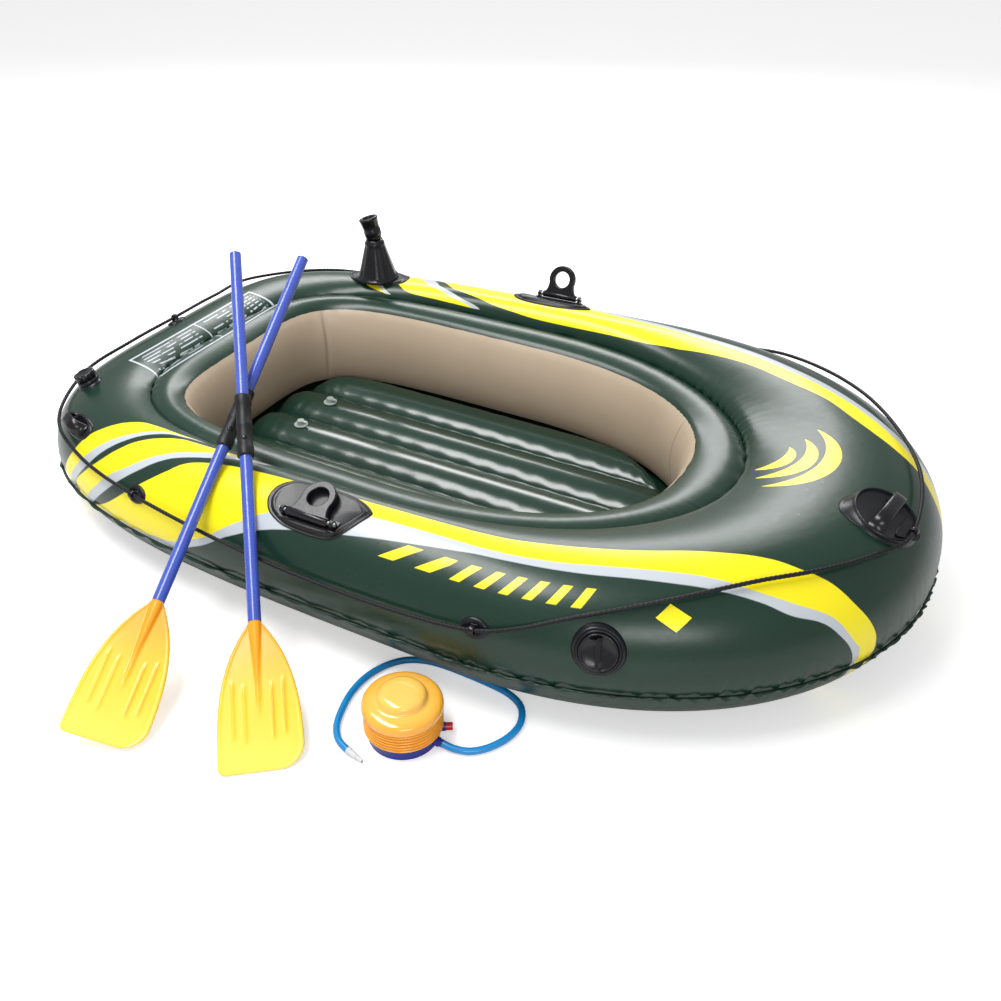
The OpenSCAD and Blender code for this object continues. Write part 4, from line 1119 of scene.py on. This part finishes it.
# %% Valves
side_at, stern_at = (-67, 23), (-146, 71)
cap_h = 0.005
domed = [(1, 1, -0.0008), (1, 1, 0.0018), (0.985, 1, 0.0035), (0.95, 0.75, 0.0055), (0.90, 0.3, 0.006),
         (0.86, 0.05, 0.0062), (0.82, 0, 0.0045), (0.79, 0, 0.0008), (0.7, 0, 0), (0, 0, 0)]
pad("side_valve_flange", side_at, oval(0.046, 0.046), domed, black_vinyl, "side_valve_pad")
low_dome = [(1, 1, -0.0008), (1, 1, 0.0018), (0.95, 1, 0.0032), (0.9, 0.4, 0.003), (0.84, 0, 0.0012),
            (0.6, 0, 0), (0, 0, 0)]
pad("stern_valve_flange", stern_at, oval(0.027, 0.027), low_dome, black_vinyl, "stern_valve_pad")


def valve_cup(name, at, r, h, node):
    profile = [(r * 0.36, 0.0001), (r + 0.0045, 0.0001), (r + 0.005, 0.0012), (r + 0.005, h - 0.0016),
               (r + 0.0038, h), (r + 0.0016, h), (r + 0.0005, h - 0.0014), (r + 0.0005, 0.003),
               (r * 0.36, 0.003)]
    piece = lathe(name, profile, black_vinyl, "hull", placed(*at, pad_top), closed=True, turns=96)
    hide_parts(node)


valve_cup("side_valve_cup", side_at, 0.033, 0.009, "side_valve_body")
valve_cup("stern_valve_cup", stern_at, 0.019, 0.010, "stern_valve_body")
side_cap_frame = placed(*side_at, pad_top + cap_h)
cap_profile = [(0.026, 0.0001), (0.0322, 0.0002), (0.033, 0.001), (0.033, 0.0058), (0.0322, 0.0068),
               (0.0305, 0.0072), (0.0295, 0.0066), (0.0285, 0.0056), (0.010, 0.0052), (0, 0.0052)]
cap = lathe("side_cap_disc", cap_profile, black_plastic, "side_cap", side_cap_frame, turns=96)
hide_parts("side_valve_cap")
grip_outline = smooth_line([(-0.0035, -0.024), (0, -0.0268), (0.0035, -0.024), (0.0035, 0.0),
                            (0.0035, 0.024), (0.0, 0.0268), (-0.0035, 0.024), (-0.0035, 0.0)], 6, True)
grip = plate("side_cap_grip", [grip_outline], 0.0094, 0.0014, black_plastic, "side_cap",
             side_cap_frame @ Matrix.Translation((0, 0, 0.0099)))
bar = smooth_line([(-0.013, 0.0222), (-0.0145, 0.0205), (-0.013, 0.0188), (0, 0.0186), (0.0035, 0.0205),
                   (0, 0.0224)], 6, True)
grip_bar = plate("side_cap_grip_bar", [bar], 0.005, 0.001, black_plastic, "side_cap",
                 side_cap_frame @ Matrix.Translation((0, 0, 0.0075)))
stern_cap_frame = placed(*stern_at, pad_top + cap_h)
knob_profile = [(0.012, 0.0001), (0.0185, 0.0002), (0.0190, 0.001), (0.0190, 0.0058), (0.0225, 0.0062),
                (0.0240, 0.0075), (0.0240, 0.0195), (0.0228, 0.0215), (0.0190, 0.022), (0.0165, 0.0205),
                (0, 0.0202)]


def notches(angle, k):
    """Six finger notches in the wide part of the knob."""
    return 1 - (0.13 * np.clip(np.cos(angle * 6), 0, 1) ** 1.5 if 4 <= k <= 8 else 0)


knob = lathe("stern_cap_knob", knob_profile, black_plastic, "stern_cap", stern_cap_frame, notches, turns=120)
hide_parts("stern_valve_cap")
print("valves made")

# %% [markdown]
# ## Grab line
#
# A black laid rope of 8 mm runs all round the hull in one closed loop, through the eyes of five
# holders and the bow lug. It is held at every point of its way, so its route is the frame's. Its
# strands are real: the rope's section has three lobes that turn as they go along.

# %% Grab line
rope_d, eye_r, lay_l = 0.008, 0.008, 0.026
eye_h = eye_r + 0.0003
rope_route = [(-20, 57), (-31, 62), (-42, 64), (-57, 56), (-71, 41), (-78, 29), (-84, 21), (-92, 17),
              (-101, 16), (-111, 20), (-122, 27), (-131, 32), (-140, 38), (-152, 54), (-166, 66),
              (-180, 68), (-194, 67), (-209, 62), (-226, 46), (-238, 27), (-249, 20), (-260, 17),
              (-276, 21), (-296, 48), (-320, 60), (-348, 60)]
_, bow_up, bow_out = frame_at(*bow_handle_at)
bow_lug = skin(*bow_handle_at) - bow_up * lug_out + bow_out * (pad_top + eye_h)
guides = np.concatenate([bow_lug[None], off_skin(*np.array(rope_route, float).T, pad_top + eye_h)])
rope_ups = np.concatenate([bow_out[None], [frame_at(*p)[2] for p in rope_route]])
rope_steps = 110
rope_line = smooth_line(guides, rope_steps, True)
ups = smooth_line(rope_ups, rope_steps, True)
rope_m = np.linalg.norm(rope_line - np.roll(rope_line, -1, 0), axis=1).sum()
lay = np.cumsum(np.linalg.norm(rope_line - np.roll(rope_line, 1, 0), axis=1))
lay_turns = round(rope_m / lay_l)
strand = np.arange(15) * 2 * np.pi / 15


def rope_section(i):
    twist = 2 * np.pi * lay_turns * lay[i] / rope_m
    r = rope_d / 2 * (0.80 + 0.20 * np.abs(np.cos(1.5 * (strand - twist))))
    return np.stack([r * np.cos(strand), r * np.sin(strand)], -1)


black_rope = Finish("black laid rope", Roughness=0.5, Specular_IOR_Level=0.3)
fibre = black_rope.noise(700, 3)
black_rope.set(Base_Color=black_rope.mix(fibre, (0.002, 0.002, 0.003), (0.010, 0.010, 0.014)))
black_rope.bump(fibre, 0.0004, 0.6)
rope = grid_piece("grab_line_rope", sweep(rope_line, ups, rope_section, True), black_rope, "hull",
                  wrap_rows=True, wrap_columns=True)
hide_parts("grab_line")
print(f"grab line {rope_m:.2f} m round, {lay_turns} turns of lay")

# %% [markdown]
# ## Rope holders
#
# Five small oval pads are welded on along the rope's way, each with a flat loop of hard vinyl
# that the rope runs through. A sixth loop stands on the bow handle's lug. The loop is a strip
# carried along half a circle and widened where it meets the pad.

# %% Rope holders
holder_places = [(-84, 21), (-122, 27), (180, 68), (122, 27), (84, 21)]
button = [(1, 1, -0.0008), (1, 1, 0.0016), (0.94, 1, 0.0032), (0.86, 1, 0.0042), (0.78, 0.8, 0.0040),
          (0.70, 0.4, 0.0022), (0.62, 0, 0.0006), (0.55, 0, 0), (0, 0, 0)]


def rope_eye(name, frame_matrix):
    """A loop of vinyl that stands on the pad, with the rope through it."""
    bend_at = np.linspace(0, np.pi, 17)
    mid = 0.0068
    path = np.concatenate([[(0, mid, 0.0), (0, mid, eye_h / 2)],
                           np.stack([0 * bend_at, mid * np.cos(bend_at), eye_h + mid * np.sin(bend_at)], -1),
                           [(0, -mid, eye_h / 2), (0, -mid, 0.0)]])
    k = np.arange(16) * 2 * np.pi / 16
    low_end = np.array([1 + 0.35 * max(0, 1 - p[2] / 0.004) for p in path])
    loop = sweep(path, np.array([1.0, 0, 0]) + 0 * path, lambda i: np.stack(
        [0.0013 * np.cos(k), 0.0052 * low_end[i] * np.sign(np.sin(k)) * np.abs(np.sin(k)) ** 0.7], -1))
    piece = grid_piece(name, moved(loop, frame_matrix), black_plastic, "hull", wrap_columns=True, caps=True)
    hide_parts("rope_holder_eyes")


for k, place in enumerate(holder_places, 1):
    pad(f"rope_holder_oval_{k}", place, oval(0.026, 0.019), button, black_vinyl, "rope_holder_pads")
    rope_eye(f"rope_eye_{k}", placed(*place, pad_top))
rope_eye("rope_eye_bow", placed(*bow_handle_at, pad_top) @ Matrix.Translation((0, -lug_out, 0)))
print("eyes made:", len(holder_places) + 1)

# %% [markdown]
# ## Oars
#
# Each oar is a blue tube in two halves, joined in a black sleeve, with a moulded yellow blade. It
# lies on the ground and on the tube at a slant, so its pieces are made along X from the blade's
# tip and then set in place by one matrix.

# %% Where the oars lie
blade_l, blade_w, blade_t = 0.261, 0.147, 0.004
# For each oar: the tip of its blade, its heading, its tilt and its roll
oars = {"lower": ((-0.225, -0.973, 0.02082), 101.7, 28.56, 20),
        "upper": ((0.049, -0.879, 0.00220), 127.9, 31.65, 0)}


def oar_frame(start, heading, tilt, roll):
    return (Matrix.Translation(start) @ Matrix.Rotation(math.radians(heading), 4, "Z")
            @ Matrix.Rotation(math.radians(-tilt), 4, "Y") @ Matrix.Rotation(math.radians(roll), 4, "X"))


print("oars", list(oars))

# %% [markdown]
# ## The blade's form
#
# The blade is thin, with a spine that runs on from the shaft and slender ribs on either side, and
# its two tip corners differ: one is tight and one is wide. It is a grid of outlines from the tip
# to the neck, so ribs and spine are part of the surface.

# %% The blade's form
tight_corner, wide_corner, neck_half = 0.014, 0.044, 0.010
rib_places, rib_l = (-0.044, -0.024, 0.024, 0.044), 0.100
blade_x = np.concatenate([np.array([0, 0.0006, 0.0016, 0.003]), np.linspace(0.005, blade_l, 104)])
half_turn = np.linspace(-1, 1, 61)
across_share = np.sign(half_turn) * (1 - (1 - np.abs(half_turn)) ** 1.15)


def blade_half(x, corner):
    """Half the blade's width, where a corner of some radius rounds the tip."""
    u = np.minimum(1 - x / blade_l, 0.82)
    half = neck_half + (blade_w / 2 - neck_half) * (1 - (1 - u) ** 3.2)
    near_tip = np.clip(corner - x, 0, corner)
    return np.minimum(half, blade_w / 2 - corner + np.sqrt(corner**2 - near_tip**2))


def rib_start(rib_y):
    return 0.040 + abs(rib_y) * 0.4


def blade_height(x, y, half):
    """Upper surface: thin edge, rounded rim bead, ribs and spine."""
    thin = np.clip((half - np.abs(y)) / 0.0022, 0, 1)
    tip = np.clip(x / 0.003, 0, 1)
    z = blade_t / 2 * np.sqrt(1 - (1 - thin) ** 2) * np.sqrt(tip * (2 - tip))
    bead = np.exp(-((half - np.abs(y) - 0.004) / 0.0018) ** 2) * 0.0006
    ribs = 0
    for rib_y in rib_places:
        x0 = rib_start(rib_y)
        ends = np.clip((x - x0) / 0.006, 0, 1) * np.clip((x0 + rib_l - x) / 0.016, 0, 1)
        ribs = ribs + 0.0021 * np.exp(-((y - rib_y) / 0.0017) ** 2) * np.sqrt(np.clip(ends, 0, 1))
    spine_r = 0.004 + 0.008 * np.clip((x - (blade_l - 0.110)) / 0.110, 0, 1)
    spine_r = spine_r * np.clip((x - 0.075) / 0.05, 0, 1) ** 0.7
    spine = np.sqrt(np.clip(spine_r**2 - y**2, 0, None))
    return np.maximum(z + np.clip(x / 0.01, 0, 1) * bead + ribs, spine)


def blade_rings():
    rings = []
    for x in blade_x:
        left, right = blade_half(x, tight_corner), blade_half(x, wide_corner)
        y = np.where(across_share > 0, across_share * left, across_share * right)
        half = np.where(y > 0, left, right)
        z = blade_height(x, y, half)
        under = -z[1:-1]
        rings.append(np.stack([np.full(2 * len(y) - 2, x), np.concatenate([y, y[1:-1][::-1]]),
                               np.concatenate([z, under[::-1]])], -1))
    return np.stack(rings)


blade_mesh = blade_rings()
print("blade", blade_mesh.shape[0], "rings of", blade_mesh.shape[1], "points")

# %% [markdown]
# ## The blade's plastic
#
# The plastic lets a little light in, so it is deeper orange where it is thick, near the neck, on
# the spine and on the ribs, and pale towards the tip. The place on the blade comes from two
# coordinates that run along it and across it.

# %% Blades
blade_yellow = Finish("blade yellow plastic", Roughness=0.3, Coat_Weight=0.25, Coat_Roughness=0.12,
                      Subsurface_Weight=0.08, Subsurface_Radius=(0.01, 0.006, 0.001))
along_blade, across_blade, _ = blade_yellow.parts(blade_yellow.place("UV"))
cloud = blade_yellow.noise(14, 3)
from_spine = abs(across_blade - 0.5) * blade_w
thick_plastic = ((along_blade + cloud * 0.22 - 0.1).step(0.38, 1.02)
                 + (1 - from_spine.step(0.002, 0.011)) * along_blade.step(0.25, 0.6) * 0.5).least(1)
tip_pale = 1 - (along_blade + cloud * 0.2).step(0.10, 0.55)
tint = blade_yellow.mix(thick_plastic, (0.94, 0.60, 0.022), (0.90, 0.36, 0.010))
tint = blade_yellow.mix(tip_pale * 0.7, tint, (0.95, 0.77, 0.11))


def rib_lines_and_shade():
    """The ribs are thick, so they look deeper in colour; on one half they are painted darker than on the
    other, as painted shade.
    """
    lines = None
    for rib_y, deep in zip(rib_places, (0.8, 0.9, 0.25, 0.25)):
        x0 = rib_start(rib_y) / blade_l
        line = ((1 - abs(across_blade - (0.5 + rib_y / blade_w)).step(0.005, 0.018)) * deep
                * inside(along_blade, x0 + 0.02, x0 + 0.36, 0.03))
        lines = line if lines is None else lines.most(line)
    return lines


blade_yellow.set(Base_Color=blade_yellow.mix(rib_lines_and_shade() * 0.8, tint, (0.86, 0.33, 0.010)))
blade_yellow.bump(blade_yellow.noise(220, 2) * 0.6 + blade_yellow.noise(25, 2), 0.0005, 0.25)


def blade_uv(rows, columns):
    columns = columns % blade_mesh.shape[1]
    x, y = blade_mesh[rows, columns, 0], blade_mesh[rows, columns, 1]
    return np.stack([x / blade_l, y / blade_w + 0.5], -1)


for side_name, lie in oars.items():
    blade = grid_piece(f"{side_name}_blade_moulding", moved(blade_mesh, oar_frame(*lie)), blade_yellow,
                       f"{side_name}_oar", wrap_columns=True, caps=True, flip=True, uv_of=blade_uv)
    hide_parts(f"{side_name}_oar_blade")
print("blades", len(blade.data.polygons), "faces each")

# %% [markdown]
# ## Sleeves and tubes
#
# The halves of an oar meet inside a matt black sleeve with a spring button on it. The sleeve is a
# closed ring on the lathe, because the tubes run through it. The tubes are plain, so they keep
# their meshes and only get a blue finish with fine streaks.

# %% Sleeves and tubes
sleeve_at, sleeve_l = 0.655, 0.132
sleeve_profile = [(0.01215, 0.0), (0.0150, 0.0), (0.0163, 0.0012), (0.0165, 0.0030), (0.0165, 0.0200),
                  (0.0152, 0.0225), (0.0150, 0.0600), (0.0158, 0.0620), (0.0158, 0.0700), (0.0150, 0.0720),
                  (0.0152, 0.1095), (0.0165, 0.1120), (0.0165, 0.1290), (0.0163, 0.1308), (0.0150, 0.1320),
                  (0.01215, 0.1320)]
button_profile = [(0.0052, -0.001), (0.0052, 0.0022), (0.0045, 0.0032), (0.002, 0.0036), (0, 0.0036)]
for side_name, lie in oars.items():
    seat_at = oar_frame(*lie) @ Matrix.Translation((sleeve_at - sleeve_l / 2, 0, 0))
    sleeve = lathe(f"{side_name}_sleeve_moulding", sleeve_profile, matt_black, f"{side_name}_oar",
                   seat_at @ Matrix.Rotation(math.radians(90), 4, "Y"), closed=True, turns=48)
    button = lathe(f"{side_name}_sleeve_button", button_profile, black_plastic, f"{side_name}_oar",
                   seat_at @ Matrix.Translation((0.036, 0, 0.0138)), turns=24)
    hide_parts(f"{side_name}_oar_sleeve")

tube_blue = Finish("oar tube blue", Coat_Weight=0.35, Coat_Roughness=0.1)
cloud = tube_blue.noise(18, 2)
streak = tube_blue.noise(260, 2)
tube_blue.set(Base_Color=tube_blue.mix(cloud, (0.036, 0.07, 0.40), (0.060, 0.11, 0.52)),
              Roughness=streak * 0.15 + 0.18)
tube_blue.bump(streak, 0.0001, 0.3)
print("sleeves", len(sleeve.data.polygons), "faces each")

# %% [markdown]
# ## Foot pump
#
# The pump is a bellows of amber vinyl on a navy base, with a domed top that the foot presses. The vinyl is
# glossy and lets a little light in. It is deeper orange in the folds, and the dome is painted paler towards
# its middle, a painted highlight where the lamps fall on it. The bellows flattens as the top goes down.

# %% Amber vinyl and bellows
pump_x, pump_y = 0.211, -0.690
pump_at = Matrix.Translation((pump_x, pump_y, 0))
pump_r, base_h, bellows_h, seat_gap = 0.071, 0.022, 0.040, 0.0003
groove_r = pump_r - 0.0088
amber = Finish("amber vinyl", Roughness=0.16, Coat_Weight=0.6, Coat_Roughness=0.08,
               Subsurface_Weight=0.2, Subsurface_Radius=(0.02, 0.008, 0.001))
px, py, pz = amber.parts(amber.place())
cloud = amber.noise(22, 2)
radius = ((px - pump_x) ** 2 + (py - pump_y) ** 2) ** 0.5
# Painted highlight: the top moulding is painted paler towards its middle, where the lamps fall on the dome.
pale = pz.step(0.055, 0.10) * (1 - radius.step(0.045, 0.075) * 0.6)
amber.set(Base_Color=amber.mix(pale * (cloud * 0.4 + 0.7), (0.92, 0.40, 0.022), (0.96, 0.58, 0.12)))
amber.bump(cloud, 0.0006, 0.2)

ridges = 6
fold = bellows_h / ridges
ridge = ((0.0, 0.0), (0.1, 0.25), (0.25, 0.75), (0.42, 0.98), (0.58, 0.98), (0.75, 0.75), (0.9, 0.25))
bellows_profile = [(groove_r + 0.0078 * out, (k + share_up) * fold * 0.985)
                   for k in range(ridges) for share_up, out in ridge]
bellows_profile.append((groove_r, bellows_h - seat_gap))
inner = [(r - 0.002, z) for r, z in bellows_profile[::-1]]
bellows = lathe("pump_bellows_folds", bellows_profile + inner, amber, "pump",
                pump_at @ Matrix.Translation((0, 0, base_h + seat_gap)), closed=True, turns=96)
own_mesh(bellows)
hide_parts("pump_bellows")
print("bellows with", ridges, "ridges")

# %% [markdown]
# ## Pump top
#
# The top is one moulding: a flat rim that grips the bellows, a shallow step and a dome that the
# foot presses. It is turned from its under side round to its upper side in one profile.

# %% Pump top
top_profile = [(0.0595, 0.0), (0.0690, 0.0), (0.0706, 0.0012), (0.0710, 0.0035), (0.0710, 0.0095),
               (0.0703, 0.0130), (0.0680, 0.0165), (0.0640, 0.0192), (0.0580, 0.0208), (0.0500, 0.0216),
               (0.0462, 0.0222), (0.0436, 0.0240), (0.0423, 0.0270), (0.0414, 0.0310), (0.0385, 0.0346),
               (0.0335, 0.0368), (0.0280, 0.0378), (0.0200, 0.0381), (0.0100, 0.0380), (0, 0.0380)]
top_under = [(0, 0.0355), (0.026, 0.0354), (0.036, 0.0325), (0.0385, 0.0270), (0.041, 0.0215),
             (0.056, 0.0190), (0.0650, 0.0150), (0.0680, 0.0100), (0.0680, 0.0035), (0.0650, 0.0025),
             (0.0595, 0.0025)]
pump_cap = lathe("pump_top_dome", top_under + top_profile, amber, "pump_head",
                 pump_at @ Matrix.Translation((0, 0, base_h + bellows_h + seat_gap)), turns=96)
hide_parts("pump_top")
print("pump top", len(pump_cap.data.polygons), "faces")

# %% [markdown]
# ## Pump spring
#
# Inside, a steel spring lifts the top again. It is a round wire swept along a helix.

# %% Pump spring
spring_r, spring_low, spring_high, spring_turns, wire_r = 0.024, 0.0049, 0.0962, 4, 0.0016
coil = np.linspace(0, spring_turns, spring_turns * 28 + 1)
coil_angle = coil * 2 * np.pi
spring_line = np.stack([pump_x + spring_r * np.cos(coil_angle), pump_y + spring_r * np.sin(coil_angle),
                        spring_low + (spring_high - spring_low) * coil / spring_turns], -1)
wire = np.arange(8) * np.pi / 4
steel = Finish("plain steel", Metallic=1.0)
brushed = steel.noise(300, 3)
steel.set(Base_Color=steel.mix(brushed, (0.42, 0.42, 0.43), (0.62, 0.62, 0.63)),
          Roughness=brushed * 0.2 + 0.25)
wire_rings = sweep(spring_line, np.array([0, 0, 1.0]) + 0 * spring_line,
                   lambda i: wire_r * np.stack([np.cos(wire), np.sin(wire)], -1))
spring = grid_piece("pump_spring_coil", wire_rings, steel, "pump", wrap_columns=True, caps=True)
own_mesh(spring)
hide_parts("pump_spring")
print("spring of", spring_turns, "turns")

# %% [markdown]
# ## Finishes for the pieces that stay
#
# The remaining nodes are hard, plain parts whose shape is right: shafts, pins, plugs, nozzle,
# outlet and the pump's base. They keep their meshes and get their own finishes, each with a
# little unevenness in tone and gloss.

# %% Finishes on kept nodes
navy = moulded("navy plastic", (0.008, 0.016, 0.20), (0.014, 0.030, 0.32), 0.3, coat=0.3)
red = moulded("red plastic", (0.50, 0.012, 0.010), (0.68, 0.022, 0.016), 0.28, coat=0.3)
nozzle_white = moulded("white plastic", (0.55, 0.56, 0.57), (0.66, 0.67, 0.68), 0.3)
milky = moulded("milky vinyl", (0.26, 0.30, 0.29), (0.40, 0.44, 0.43), 0.2, coat=0.4)
grey_rubber = moulded("grey rubber", (0.09, 0.09, 0.09), (0.15, 0.15, 0.15), 0.6)
kept = {
    black_plastic: ["starboard_oarlock_base", "port_oarlock_base"],
    steel: ["starboard_oarlock_pin", "port_oarlock_pin"],
    grey_rubber: ["side_valve_flap", "stern_valve_flap"],
    milky: ["floor_valves", "port_floor_plug", "middle_floor_plug"],
    tube_blue: ["lower_oar_shaft", "lower_oar_grip_shaft", "lower_oar_end_cap",
                "upper_oar_shaft", "upper_oar_grip_shaft", "upper_oar_end_cap"],
    navy: ["pump_base", "pump_outlet"],
    red: ["pump_plug"],
    nozzle_white: ["hose_nozzle"],
}
for finish, names in kept.items():
    for name in names:
        mesh = nodes[name].data
        mesh.materials.clear()
        mesh.materials.append(finish.material)
print("finishes on", sum(len(n) for n in kept.values()), "kept nodes")

# %% [markdown]
# ## Studio
#
# A pale floor, a white room and three large soft lights: a long one behind the boat and a long
# one over it, which draw the sheen along the tubes, and a small one low in front. The floor also
# glows a little where the camera sees it directly, so that it stays white without lighting the
# boat from below. The boat's own finishes don't do that.

# %% Studio
ground = Finish("pale floor", Roughness=0.7, Emission_Color=(1, 1, 1))
seen = ground.node("ShaderNodeLightPath")
ground.set(Base_Color=(0.8, 0.8, 0.8), Emission_Strength=seen * 0.45)
bpy.ops.mesh.primitive_plane_add(size=40, location=(0, 0, -0.0005))
studio_floor = bpy.context.object
studio_floor.name = "studio_floor"
studio_floor.data.materials.append(ground.material)

world = bpy.data.worlds.new("studio")
bpy.context.scene.world = world
world.use_nodes = True
room = world.node_tree
room_light = room.nodes["Background"]
room_light.inputs["Color"].default_value = (1, 1, 1, 1)
room_light.inputs["Strength"].default_value = 0.5
bpy.context.scene.view_settings.view_transform = "Standard"


def softbox(name, place, size, power, look=(0, 0, 0.1)):
    light = bpy.data.lights.new(name, "AREA")
    light.shape = "RECTANGLE"
    light.size, light.size_y = size
    light.energy = power
    lamp = bpy.data.objects.new(name, light)
    bpy.context.scene.collection.objects.link(lamp)
    lamp.location = place
    lamp.rotation_euler = (Vector(look) - lamp.location).to_track_quat("-Z", "Y").to_euler()


softbox("back", (-1.3, 2.7, 2.1), (3.0, 0.8), 70)
softbox("over", (-0.9, -0.9, 3.0), (2.6, 0.9), 95)
softbox("front", (2.0, -3.0, 1.8), (1.6, 0.9), 30)
